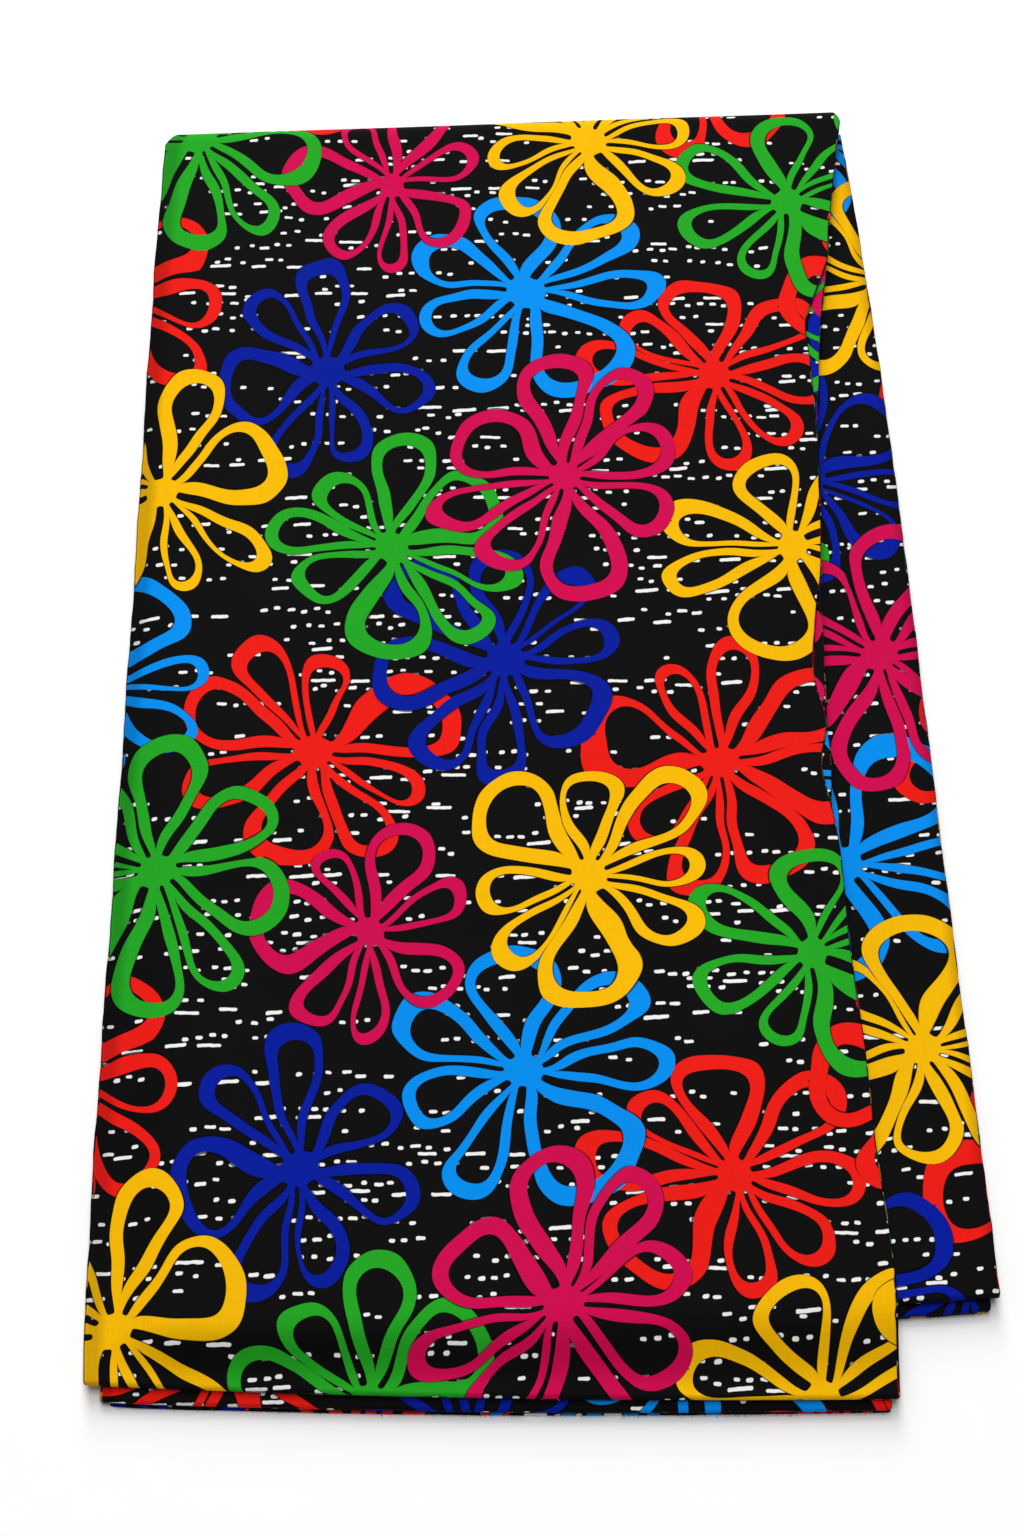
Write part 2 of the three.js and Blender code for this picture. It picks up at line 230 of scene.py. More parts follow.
# The undyed marks, in metres: close ovals, and longer dashes in rows between them, with the seeds and steps
# that they are drawn with, their sizes and lean, and the room that they have in their places
MARK_KINDS = (
    {"Pitch_across": 0.0054, "Pitch_along": 0.0070, "Share": 0.44, "Dash_share": 0.22, "Dash_length": 0.0009,
     "Jump": 0.0012, "Seed": 2.0},
    {"Pitch_across": 0.0145, "Pitch_along": 0.0140, "Share": 0.38, "Dash_share": 1.0, "Dash_length": 0.0045,
     "Jump": 0.0011, "Seed": 7.0},
)
ROW_SEED = 0.5
ROW_SLIP = 7.0
MARK_SEED_STEP = 3.3
RUN_SEED_STEP = 1.9
MARKS_IN_RUN = 3.0
MARKS_KEPT = 0.82
OVAL_HALF_LENGTH = (0.00105, 0.0014)
MARK_HALF_HEIGHT = (0.00066, 0.00082)
DASH_PART = (0.4, 1.0)
DASH_FLATTER = 0.00005
MARK_ROOM_ACROSS = 0.44
MARK_LEAN = (-0.03, 0.11)
MARK_EDGES = (-0.00012, 0.00014)

# Scale and distance of the wobble that the flowers and the marks are drawn with
FLOWER_WOBBLE = (52.0, 0.0052)
MARK_WOBBLE = (460.0, 0.0005)

# The cotton: patches of a lighter ground, slubs along and across the threads, fading and finish
PATCH_SCALE = 23.0
PATCH_EDGES = (0.35, 0.7)
PATCH_LIGHTER = 1.45
SLUB_SCALES = (90.0, 2600.0)
SLUB_SHADE = 0.20
FADE_SCALE = 9.0
FADE_SHADES = (0.71, 0.81)
WEAVE_STRENGTH = 0.55
COTTON_ROUGHNESS = (0.72, 0.86)
COTTON_SPECULAR = 0.06

# The yarn ends: their dye and finish, their bent line and its steps, their turns and scales, and how they
# spread
YARN_DYE_SCALE = 130.0
YARN_DYE_EDGES = (0.42, 0.58)
YARN_SHADE = 0.55
YARN_ROUGHNESS = 0.85
YARN_SPECULAR = 0.2
YARN_BEND = ((0.0, 0.0, -0.2), (0.22, 0.0, 0.4), (0.0, 0.0, 1.0))
YARN_STEPS = 4
YARN_SIDES = 4
YARN_TURNS = ((math.radians(80), -math.pi, math.radians(-28)), (math.radians(98), math.pi, math.radians(28)))
YARN_SCALES = ((0.7, 0.7, 0.35), (1.1, 1.1, 1.0))
YARN_SLIP = 0.0006
YARN_STACK = 0.8
YARN_MARGIN = 0.01
YARN_LINE_POINTS = 40

# The floor, the lights and the camera, in metres, with the camera's sensor in mm
FLOOR_REACH = 4.0
FLOOR_HEIGHT = -0.0002
FLOOR_SCALE = 40.0
FLOOR_TONES = ((0.93, 0.93, 0.93, 1.0), (0.95, 0.95, 0.95, 1.0))
FLOOR_ROUGHNESS = 0.9
FAR_LIGHT_PLACE = (-0.35, 3.0, 3.1)
FAR_LIGHT_SIZE = (1.5, 4.2)
TOP_LIGHT_PLACE = (0.0, 0.0, 4.5)
TOP_LIGHT_SIZE = (2.0, 2.0)
SENSOR_WIDTH = 36.0
CLIP_RANGE = (0.05, 50.0)

# Each piece's place on the printed cloth in mm, and the seeds that its plies wander with on the left and
# right
PIECES = {
    "front_panel": ((160.0, 250.0), (0.3, 1.9)),
    "front_hidden_layers": ((20.0, 130.0), (4.1, 5.3)),
    "front_second_fold": ((95.0, 3.0), (8.2, 9.6)),
    "front_cut_end": ((290.0, 173.0), (11.7, 12.4)),
    "back_panel": ((35.0, 130.0), (14.2, 15.8)),
    "back_hidden_layers": ((250.0, 20.0), (17.1, 18.5)),
    "back_second_fold": ((247.0, 272.0), (21.3, 22.9)),
    "underside_panel": ((102.0, 242.0), (25.4, 26.6)),
}

# The plies' ends wander over these lengths, each with its share. The rest bends the waves, scatters the
# seeds, and steps them from ply to ply.
WANDER_LENGTHS = (34.0, 13.0, 5.5)
WANDER_SHARES = (0.55, 0.30, 0.15)
WANDER_SCATTER = (12.9898, 78.233, 43.7585)
WANDER_STRETCH = 1.9
WANDER_BEND = {"height": 0.9, "stretch": 2.7, "phase": 2.1}
LEFT_SEED_STEP = 1.37
RIGHT_SEED_STEP = 2.11
FOLD_SEED_STEP = 0.73
CUT_SEED_STEP = 3.1

# The plies at a side: the steps round each in degrees, how far one bulges, the groove between two, how far
# its print lies from the next ply's, the share of the band's width that a corner takes, and how fast a side's
# wander fades into the panel
ROUND_STEPS = (-72.0, -48.0, -24.0, 0.0, 24.0, 48.0, 72.0)
PLY_BULGE = 0.9
GROOVE = 0.9
GROOVE_SHARE = 0.35
GROOVE_DEPTH = 0.6
PLY_OFFSET = (137.0, 211.0)
CORNER_SHARE = 0.0016
SIDE_FADE = 14

# How the plies of a layer share its height on the right, where a fold lies over or under two selvedges
FOLD_ABOVE = (0.0, 0.25, 0.5, 1.0)
FOLD_BELOW = (0.0, 0.5, 0.75, 1.0)

# The plies at a cut end: the steps round each in degrees, how far they stand out, and how unevenly they are
# cut
CUT_STEPS = (-62.0, -22.0, 22.0, 62.0)
CUT_STAND = 0.12
CUT_UNEVEN = 0.34

# A near fold's rounded nose: where it starts, how far it turns, and its steps
NOSE_START = 4.5
NOSE_TURN = math.radians(86.0)
NOSE_STEPS = 9

# The steps round the far fold, how far from it creases and ripples have faded in, and the shares of its
# length that a crease fades in and out over
FOLD_STEPS = 22
CREASE_FADE = 24.0
CREASE_START_FADE = 0.25
CREASE_END_FADE = 0.3

# The far fold's slight puffs, and the slow and quick ripples of a top face: their lengths and bends in mm
PUFF = 0.018
PUFF_LENGTH = 23.0
RIPPLE_COLUMNS = ("across", "along", "bend_across", "bend_along", "phase", "share")
SLOW_RIPPLE = dict(zip(RIPPLE_COLUMNS, (31.0, 43.0, 57.0, 39.0, 1.1, 0.75)))
QUICK_RIPPLE = dict(zip(RIPPLE_COLUMNS, (13.0, 17.0, 29.0, 41.0, 0.6, 0.25)))
RIPPLE_BENDS = (1.3, 0.8)

# How far the sides of the hidden layers and of the underside stand out, left and right: below 0 is drawn in
HIDDEN_LEFT_IN = -1.4
HIDDEN_FOLD_SIDES = (-1.4, -0.8)
BACK_HIDDEN_SIDES = (-1.0, -0.9)
UNDERSIDE_SIDES = (-0.6, -1.2)

# The back half's length, as a measure for the air at the far fold, and how far the layers end short of a near
# fold
BACK_LENGTH = 520.0
FOLD_GAP = 3.0
HIDDEN_GAP = 1.0

# Faces turned past this angle meet in a sharp edge
SHARP_ANGLE = math.radians(58.0)

# How a node tree is laid out, the sockets of a mix of two colours, and the kinds of sockets
NODES_IN_ROW = 24
NODE_SPACING = (180, 160)
COLOUR_MIX_INPUTS = (0, 6, 7)
COLOUR_MIX_OUTPUT = 2
FLOAT, VECTOR, COLOUR = "NodeSocketFloat", "NodeSocketVector", "NodeSocketColor"


def srgb(red, green, blue):
    """A colour given as the eye's numbers from 0 to 255, as linear light."""
    def linear(value):
        share = value / 255.0
        return share / 12.92 if share <= 0.04045 else ((share + 0.055) / 1.055) ** 2.4
    return (linear(red), linear(green), linear(blue), 1.0)


def ink(name, description, *eye_numbers):
    """A colour property, with its default as the eye's numbers."""
    return bpy.props.FloatVectorProperty(
        name=name, description=description, default=srgb(*eye_numbers), size=4, subtype="COLOR")


def measure(name, description, default, **settings):
    """A number property."""
    return bpy.props.FloatProperty(name=name, description=description, default=default, **settings)


class WaxPrintColours(bpy.types.PropertyGroup):
    """The inks of the print."""
    ground: ink("Ground", "The black ground", 9, 8, 8)
    marks: ink("Marks", "The small undyed marks", 250, 249, 247)
    red: ink("Red", "Red ink", 243, 28, 20)
    crimson: ink("Crimson", "Crimson ink", 213, 8, 82)
    yellow: ink("Yellow", "Yellow ink", 254, 192, 0)
    green: ink("Green", "Green ink", 36, 170, 36)
    sky: ink("Sky blue", "Light blue ink", 0, 146, 245)
    royal: ink("Royal blue", "Dark blue ink", 2, 28, 158)


class WaxPrintSizes(bpy.types.PropertyGroup):
    """The sizes of the cloth's finish and of the meshes."""
    column_spacing: measure("Column spacing", "Mesh spacing across the band in mm", 4.2, min=1.0)
    station_spacing: measure("Station spacing", "Mesh spacing along the band in mm", 4.5, min=1.0)
    ripple: measure("Ripple", "Height of the cloth's slow ripples in mm", 0.22, min=0.0)
    ply_wander: measure("Ply wander", "How unevenly the plies end at the sides, in mm", 0.75, min=0.0)
    thread_pitch: measure(
        "Thread pitch", "Distance between two threads of the weave", 0.00036, min=0.0001, unit="LENGTH")
    weave_height: measure("Weave height", "Height of the weave's relief", 0.00004, min=0.0, unit="LENGTH")
    thread_count: bpy.props.IntProperty(
        name="Loose threads", description="Loose yarn ends along each cut end", default=170, min=1)
    thread_length: measure("Thread length", "The longest yarn end", 0.0015, min=0.0, unit="LENGTH")
    thread_thickness: measure("Thread thickness", "Thickness of a yarn", 0.00016, min=0.0, unit="LENGTH")


class WaxPrintStage(bpy.types.PropertyGroup):
    """The camera and the lights."""
    tilt: measure("Tilt", "The camera's tilt from straight down", math.radians(26.0), subtype="ANGLE")
    turn: measure("Turn", "The camera's turn about the upright", math.radians(0.42), subtype="ANGLE")
    distance: measure("Distance", "From the camera to the top of the cloth", 1.2151, unit="LENGTH")
    lens: measure("Lens", "Focal length in mm for a long side of 36 mm", 73.3)
    far_power: measure("Far light", "Power of the tall soft light past the far end", 165.0, unit="POWER")
    top_power: measure("Top light", "Power of the soft light overhead", 89.0, unit="POWER")
    room_strength: measure("Room light", "Strength of the even light of the room", 0.16)


def add_object(name, data):
    """Puts a mesh, a light or a camera into the scene."""
    obj = bpy.data.objects.new(name, data)
    bpy.context.scene.collection.objects.link(obj)
    return obj


def mix(low, high, share):
    return low + (high - low) * share


def in_model(points):
    """Points in plan mm as points in the model's metres."""
    return (points - np.array([PLAN_MIDDLE[0], PLAN_MIDDLE[1], 0.0])) * MM


def eased_rise(value, start, end):
    """A rise from 0 to 1 between two places, level at both."""
    share = np.clip((value - start) / (end - start), 0.0, 1.0)
    return share * share * (3 - 2 * share)


def column_reader(rows, names, column):
    """Reads one column of a table smoothly between its rows."""
    table = np.array([[row[names.index("at")], row[names.index(column)]] for row in rows])
    places, values = table[:, 0], table[:, 1]
    slopes = np.gradient(values, places)

    def read(at):
        at = np.clip(at, places[0], places[-1])
        row = np.clip(np.searchsorted(places, at) - 1, 0, len(places) - 2)
        length = places[row + 1] - places[row]
        share = (at - places[row]) / length
        rise = share * share * (3 - 2 * share)
        out = share * (1 - share) ** 2 * length * slopes[row]
        back = share * share * (share - 1) * length * slopes[row + 1]
        return mix(values[row], values[row + 1], rise) + out + back

    return read


front_left_in = column_reader(FRONT_EDGES, FRONT_EDGE_COLUMNS, "left")
front_right_in = column_reader(FRONT_EDGES, FRONT_EDGE_COLUMNS, "right")
front_under_in = column_reader(FRONT_EDGES, FRONT_EDGE_COLUMNS, "under")
back_out = column_reader(BACK_EDGES, BACK_EDGE_COLUMNS, "out")


def wander(along, seed):
    """An uneven line from about -1 to 1, which wanders along its length in mm."""
    total = 0.0
    by_seed, by_index, spread = WANDER_SCATTER
    bent = WANDER_BEND
    for index, (length, share) in enumerate(zip(WANDER_LENGTHS, WANDER_SHARES)):
        phase = math.sin(seed * by_seed + index * by_index) * spread
        bend = bent["height"] * np.sin(along / (length * bent["stretch"]) + bent["phase"] * phase)
        total = total + share * np.sin(along * 2 * math.pi / (length * WANDER_STRETCH) + phase + bend)
    return total


def axis_y(x):
    """Where the far fold's axis lies."""
    return CREST_AT_MIDDLE + x * CREST_SLOPE - HALF_HEIGHT


def front_left(at):
    return FRONT_LEFT + front_left_in(at)


def front_right(at):
    return FRONT_RIGHT - front_right_in(at)


def back_right(at):
    return mix(BACK_FAR_RIGHT, BACK_NEAR_RIGHT_X, at) + back_out(at)


def back_left(at):
    return back_right(at) - BAND_WIDTH * math.cos(math.atan(CREST_SLOPE))


def front_near(across):
    return mix(FRONT_NEAR_LEFT, FRONT_NEAR_RIGHT, across) - FRONT_NEAR_BOW * np.sin(math.pi * across)


def back_near(across):
    return mix(BACK_NEAR_LEFT, BACK_NEAR_RIGHT, across) - BACK_NEAR_BOW * np.sin(math.pi * across)


# The lines that a half lies between: its left, right and near edges
EDGES = {"front": (front_left, front_right, front_near), "back": (back_left, back_right, back_near)}


def lift(x, y):
    """The height that the front half is carried at: on the back half, and on the floor past it."""
    back_at = np.clip((axis_y(x) - y) / (axis_y(x) - back_near(0.5)), 0.0, 1.0)
    back_across = np.clip((x - back_left(1.0)) / BAND_WIDTH, 0.0, 1.0)
    front_across = np.clip((x - FRONT_LEFT) / (FRONT_RIGHT - FRONT_LEFT), 0.0, 1.0)
    past_left = back_left(back_at) - x
    past_near = back_near(back_across) - y
    room = back_near(back_across) - front_near(front_across)
    side_fall = eased_rise(past_left, FALL_START, FALL_SIDE_END)
    near_fall = eased_rise(past_near, FALL_START, room - FALL_NEAR_MARGIN)
    return (HALF_HEIGHT + AIR / 2) * (1 - side_fall) * (1 - near_fall) - AIR / 2


def relief(x, y, creases, ripple):
    """The soft creases and slow ripples of a half's top face, in mm."""
    total = np.zeros_like(x)
    for from_x, from_y, to_x, to_y, height, half_width in creases:
        run_x, run_y = to_x - from_x, to_y - from_y
        length = math.hypot(run_x, run_y)
        along = ((x - from_x) * run_x + (y - from_y) * run_y) / length
        beside = ((x - from_x) * run_y - (y - from_y) * run_x) / length
        start = eased_rise(along, -half_width * 2, length * CREASE_START_FADE)
        end = eased_rise(length - along, -half_width * 2, length * CREASE_END_FADE)
        total = total + height * np.exp(-(beside / half_width) ** 2) * start * end
    slow, quick = SLOW_RIPPLE, QUICK_RIPPLE
    slow_across = np.sin(x / slow["across"] + RIPPLE_BENDS[0] * np.sin(y / slow["bend_across"]))
    slow_along = np.sin(y / slow["along"] + RIPPLE_BENDS[1] * np.sin(x / slow["bend_along"]) + slow["phase"])
    quick_across = np.sin(x / quick["across"] + y / quick["bend_across"])
    quick_along = np.sin(y / quick["along"] - x / quick["bend_along"] + quick["phase"])
    return total + ripple * (
        slow["share"] * slow_across * slow_along + quick["share"] * quick_across * quick_along)


@dataclass
class Station:
    """One cross-section of a layer, with its place along a half or round the far fold."""
    half: str
    at: float = 0.0
    turn: float = 0.0
    low: float = 0.0
    high: float = 0.0
    lead: dict = None
    reach: float = 0.0
    sides: tuple = (0.0, 0.0)
    nose: float = 0.0

    def ahead(self, across):
        if self.lead is None:
            return self.reach * np.ones_like(across)
        return mix(self.lead["ahead_left"], self.lead["ahead_right"], across) - self.reach

    def place(self, across, side, up, creases, ripple):
        """The section's points in plan mm, from how far across, to the side and up each one is."""
        if self.half == "fold":
            return self.place_on_fold(across, side, up)
        left, right, near = EDGES[self.half]
        x = mix(left(self.at), right(self.at), across) + side
        y = mix(axis_y(x), near(across), self.at) - self.ahead(across)
        fade = eased_rise(axis_y(x) - y, 0.0, CREASE_FADE)
        if self.half == "front":
            return x, y, lift(x, y) + up + relief(x, y, creases, ripple) * fade * (up / HALF_HEIGHT)
        top_share = np.clip(1 - up / HALF_HEIGHT, 0.0, 1.0)
        return x, y, HALF_HEIGHT - up + relief(x, y, creases, ripple) * fade * top_share

    def place_on_fold(self, across, side, up):
        share = self.turn / math.pi
        out = math.sin(self.turn)
        left = mix(front_left(0.0), back_left(0.0), share) + CREST_LEFT_ROUND * out
        right = mix(front_right(0.0), back_right(0.0), share) - CREST_RIGHT_ROUND * out
        x = mix(left, right, across) + side
        slant = math.atan(CREST_SLOPE)
        puff = 1 + PUFF * np.sin(x / PUFF_LENGTH) * out
        reach = up * out * puff
        y = axis_y(x) + math.cos(slant) * reach
        return x - math.sin(slant) * reach, y, HALF_HEIGHT + up * math.cos(self.turn)


def heights(lowest, highest):
    """How high a run of layers starts and ends in its half."""
    return AIR / 2 + lowest * PITCH, AIR / 2 + highest * PITCH + LAYER


def half_length(half):
    """A half's length along its middle, from the far fold's axis to its near edge."""
    return axis_y(0.0) - EDGES[half][2](0.5)


def share_from_near(half, distance):
    return 1 - distance / half_length(half)


def even_sides(sides):
    """Sides that are drawn in evenly all along."""
    return lambda _at: sides


def run_of_stations(half, start, end, low, high, sides):
    """Even stations between two shares of a half's length. sides is a function of the share."""
    spacing = bpy.context.scene.wax_print_sizes.station_spacing
    count = max(2, int(round(abs(end - start) * half_length(half) / spacing)) + 1)
    places = np.linspace(start, end, count)
    return [Station(half, at=at, low=low, high=high, sides=sides(at)) for at in places]


def corner_inset(distance):
    """How far a fold's corner is drawn in at a distance from its nose."""
    short = max(CORNER_RADIUS - distance, 0.0)
    return CORNER_RADIUS - math.sqrt(CORNER_RADIUS ** 2 - short ** 2)


def near_stations(half, low, high, lead_name, rounded=True, sides=None):
    """Stations along a near fold, from its depth in the pack to its rounded nose or its cut end."""
    lead = LEADS[lead_name]
    sides = sides or even_sides((-lead["inset_left"], -lead["inset_right"]))
    start, end = share_from_near(half, FOLD_DEPTH), share_from_near(half, NOSE_START)
    stations = run_of_stations(half, start, end, low, high, sides)
    radius, middle = (high - low) / 2, (high + low) / 2
    turns = np.linspace(0.0, NOSE_TURN, NOSE_STEPS) if rounded else [0.0]
    for turn in turns:
        reach = radius * (1 - math.sin(turn)) if rounded else 0.0
        thick = radius * math.cos(turn) if rounded else radius
        inset = corner_inset(reach) if rounded else 0.0
        left, right = sides(1.0)
        stations.append(Station(
            half, at=1.0, low=middle - thick, high=middle + thick, lead=lead, reach=reach,
            sides=(left - inset, right - inset), nose=radius * turn))
    return stations


def fold_stations(low, high, sides):
    """Even stations round the far fold, from the front half to the back half."""
    turns = [math.pi * (step + 1) / FOLD_STEPS for step in range(FOLD_STEPS)]
    return [Station("fold", turn=turn, low=low, high=high, sides=sides) for turn in turns]


@dataclass
class EdgePly:
    """A ply or a nest of plies at a layer's side: the share of the layer's height that it takes."""
    start: float
    end: float
    seed: float


def left_plies(layers, seed):
    """The left edge: each layer of the band ends in one nested double fold."""
    return [
        EdgePly(index / layers, (index + 1) / layers, seed + index * LEFT_SEED_STEP)
        for index in range(layers)]


def right_plies(layers, seed, turned=False):
    """The right edge: each layer ends in one fold and two selvedges, turned over in every other layer."""
    plies = []
    for index in range(layers):
        shares = FOLD_ABOVE if (index % 2 == 0) != turned else FOLD_BELOW
        for number in range(3):
            start = (index + shares[number]) / layers
            end = (index + shares[number + 1]) / layers
            plies.append(EdgePly(start, end, seed + index * RIGHT_SEED_STEP + number * FOLD_SEED_STEP))
    return plies


def edge_outline(plies, station, along, base, sign, wander_height):
    """The rounded ends of the plies at one side, from the lowest up: how far to the side and how high each
    point is, its place on the cloth, its ply, and how far the layer's two corners are to the side."""
    thickness = station.high - station.low
    side, up, cloth, patch = [], [], [], []
    outs = [-wander_height * (0.5 + 0.5 * wander(along, ply.seed)) for ply in plies]
    for number, ply in enumerate(plies):
        low = station.low + thickness * ply.start
        high = station.low + thickness * ply.end
        half = (high - low) / 2
        bulge = min(half, PLY_BULGE)
        for degrees in ROUND_STEPS:
            angle = math.radians(degrees)
            side.append(sign * (base + outs[number] - bulge * (1 - math.cos(angle))))
            up.append((low + high) / 2 + half * math.sin(angle))
            cloth.append(sign * half * angle)
            patch.append(number + 1)
        if number < len(plies) - 1:
            depth = GROOVE_DEPTH * min(GROOVE, thickness * GROOVE_SHARE)
            side.append(sign * (base + min(outs[number], outs[number + 1]) - bulge - depth))
            up.append(high)
            cloth.append(sign * half * math.pi / 2)
            patch.append(number + 1)
    corners = []
    for number in (0, -1):
        half = (plies[number].end - plies[number].start) * thickness / 2
        corners.append(sign * (base + outs[number] - min(half, PLY_BULGE)))
    return side, up, cloth, patch, corners[0], corners[1]


@dataclass
class Layer:
    """One closed cloth layer, swept through its stations, with its print coordinates."""
    name: str
    stations: list
    left: list
    right: list
    offset: tuple
    creases: tuple
    sizes: bpy.types.PropertyGroup
    cut_row: int

    def __post_init__(self):
        columns = int(round(BAND_WIDTH / self.sizes.column_spacing))
        inner = np.linspace(0.0, 1.0, columns + 1)[1:-1]
        self.columns = np.concatenate([[0.0, CORNER_SHARE], inner, [1 - CORNER_SHARE, 1.0]])

    def outline(self, station, along):
        height = self.sizes.ply_wander
        right = edge_outline(self.right, station, along, station.sides[1], 1.0, height)
        left = edge_outline(self.left, station, along, station.sides[0], -1.0, height)
        columns = self.columns
        blend_left = np.clip(1 - columns * SIDE_FADE, 0.0, 1.0)
        blend_right = np.clip(1 - (1 - columns) * SIDE_FADE, 0.0, 1.0)
        lower_side = left[4] * blend_left + right[4] * blend_right
        upper_side = left[5] * blend_left + right[5] * blend_right
        count = len(columns)
        across = np.concatenate([columns, np.ones(len(right[0])), columns[::-1], np.zeros(len(left[0]))])
        side = np.concatenate([lower_side, right[0], upper_side[::-1], left[0][::-1]])
        up = np.concatenate([
            np.full(count, station.low), right[1], np.full(count, station.high), left[1][::-1]])
        return across, side, up, left, right

    def cloth_length(self, station, x, y):
        """The cloth's own length to the lower and the upper face of a section."""
        if station.half == "fold":
            return axis_y(x) + station.low * station.turn, axis_y(x) + station.high * station.turn
        if station.half == "front":
            radius = (station.high - station.low) / 2
            upper = y + self.nose_shift(station.nose)
            return upper - math.pi * radius * bool(station.nose), upper
        far = 2 * axis_y(x) + math.pi * HALF_HEIGHT - y
        return far, far

    def nose_shift(self, turned):
        """Round a nose the cloth runs on by its arc, and not by its plan."""
        return self.nose_radius * math.sin(turned / self.nose_radius) - turned

    def build(self):
        """Places every section, and measures how long the cloth is along its middle."""
        noses = [station.nose for station in self.stations if station.nose]
        self.nose_radius = max(noses, default=1.0) / NOSE_TURN
        rows, lowers, uppers = [], [], []
        along = 0.0
        previous = None
        for station in self.stations:
            middle = station.place(
                np.array([0.5]), np.array([0.0]), np.array([station.high]), self.creases, 0.0)
            here = np.array([given[0] for given in middle])
            if previous is not None:
                along += float(np.linalg.norm(here - previous))
            previous = here
            across, side, up, left, right = self.outline(station, along)
            x, y, z = station.place(across, side, up, self.creases, self.sizes.ripple)
            lower, upper = self.cloth_length(station, x, y)
            rows.append(np.stack([x, y, z], axis=1))
            lowers.append(np.broadcast_to(lower, x.shape))
            uppers.append(np.broadcast_to(upper, x.shape))
        self.length = along
        self.make_mesh(rows, lowers, uppers, left, right)

    def segments(self, left, right):
        """For each step round the outline: which face of the cloth it lies on, its ply, and where it starts
        and ends round the plies."""
        across = len(self.columns) - 1
        steps = []
        for face, (_, _, cloth, patch, _, _), way in (("lower", right, 1), ("upper", left, -1)):
            cloth, patch = cloth[::way], patch[::way]
            steps += [(face, 0, None, None)] * across
            steps.append(("ply", patch[0], cloth[0], cloth[0]))
            for index in range(len(cloth) - 1):
                steps.append(("ply", patch[index + (way > 0)], cloth[index], cloth[index + 1]))
            steps.append(("ply", patch[-1], cloth[-1], cloth[-1]))
        return steps

    def make_mesh(self, rows, lowers, uppers, left, right):
        """The mesh through all sections, with its place on the cloth and the painted shade at its sides."""
        count = len(rows[0])
        points = np.concatenate(rows)
        lower = np.concatenate(lowers)
        upper = np.concatenate(uppers)
        number = len(self.columns)
        steps = self.segments(left, right)
        faces, coords, sides = [], [], []
        upper_start = number + len(right[0]) - 1
        left_start = upper_start + number
        edge = (0, 1, number - 2, number - 1)
        narrow = set(edge) | {upper_start + place for place in edge}
        for row in range(len(rows) - 1):
            for index in range(count):
                after = (index + 1) % count
                a, b = row * count + index, row * count + after
                corners = (a, a + count, b + count, b)
                faces.append(corners)
                kind, patch, start, end = steps[index]
                for corner, is_end in zip(corners, (False, False, True, True)):
                    if kind == "ply":
                        base_x = points[number - 1][0] if index < upper_start else points[0][0]
                        joined = index >= left_start and len(self.left) == 1
                        shift = 0.0 if joined else patch
                        cloth_x = base_x + (end if is_end else start) + shift * PLY_OFFSET[0]
                        cloth_y = upper[corner] + shift * PLY_OFFSET[1]
                    else:
                        cloth_x = points[corner][0]
                        cloth_y = upper[corner] if kind == "upper" else lower[corner]
                    coords.append((cloth_x + self.offset[0], cloth_y + self.offset[1]))
                    # Painted shade: the plies' ends and the narrow faces beside them are marked to be drawn
                    # darker
                    painted_face_shade = PAINTED_FACE_SHADE if corner % count in narrow else 0.0
                    sides.append(PAINTED_PLY_SHADE if kind == "ply" else painted_face_shade)

        # Both ends, where a cut end's rounds add points of their own
        added = []
        for row, way in ((0, 1), (len(rows) - 1, -1)):
            ends = self.end_corners(list(range(row * count, (row + 1) * count)), len(right[0]))
            closing = self.cut_faces(points, added, *ends) if row == self.cut_row else self.end_faces(*ends)
            for face in closing:
                corners = face[::way]
                faces.append(tuple(corners))
                for corner in corners:
                    place = added[corner - len(points)] if corner >= len(points) else points[corner]
                    coords.append((place[0] + self.offset[0], place[1] + self.offset[1]))
                    sides.append(0.0)
        if added:
            points = np.concatenate([points, np.array(added)])
        mesh = bpy.data.meshes.new(self.name)
        mesh.from_pydata(in_model(points).tolist(), [], faces)
        layer = mesh.uv_layers.new(name="Cloth")
        layer.data.foreach_set("uv", (np.array(coords) * MM).ravel())
        side = mesh.attributes.new("Side", "FLOAT", "CORNER")
        side.data.foreach_set("value", sides)
        mesh.polygons.foreach_set("use_smooth", [True] * len(mesh.polygons))
        mesh.set_sharp_from_angle(angle=SHARP_ANGLE)
        mesh.update()
        self.obj = add_object(self.name, mesh)

    def end_corners(self, ring, right_count):
        """The corners of a section by where they lie: below, above, and round both sides."""
        number = len(self.columns)
        upper_right = number + right_count
        lower, upper = ring[:number], ring[upper_right:upper_right + number][::-1]
        right_edge = lower[-1:] + ring[number:upper_right] + upper[-1:]
        left_edge = lower[:1] + ring[upper_right + number:][::-1] + upper[:1]
        return lower, upper, left_edge, right_edge

    def end_faces(self, lower, upper, left_edge, right_edge):
        """The faces that close an end of the layer."""
        faces = [(lower[column], lower[column + 1], upper[column + 1], upper[column])
                 for column in range(1, len(lower) - 2)]
        return faces + self.side_faces(lower, upper, left_edge, right_edge)

    def side_faces(self, lower, upper, left_edge, right_edge):
        return [tuple([lower[-2]] + right_edge + [upper[-2]]), tuple([lower[1], upper[1]] + left_edge[::-1])]

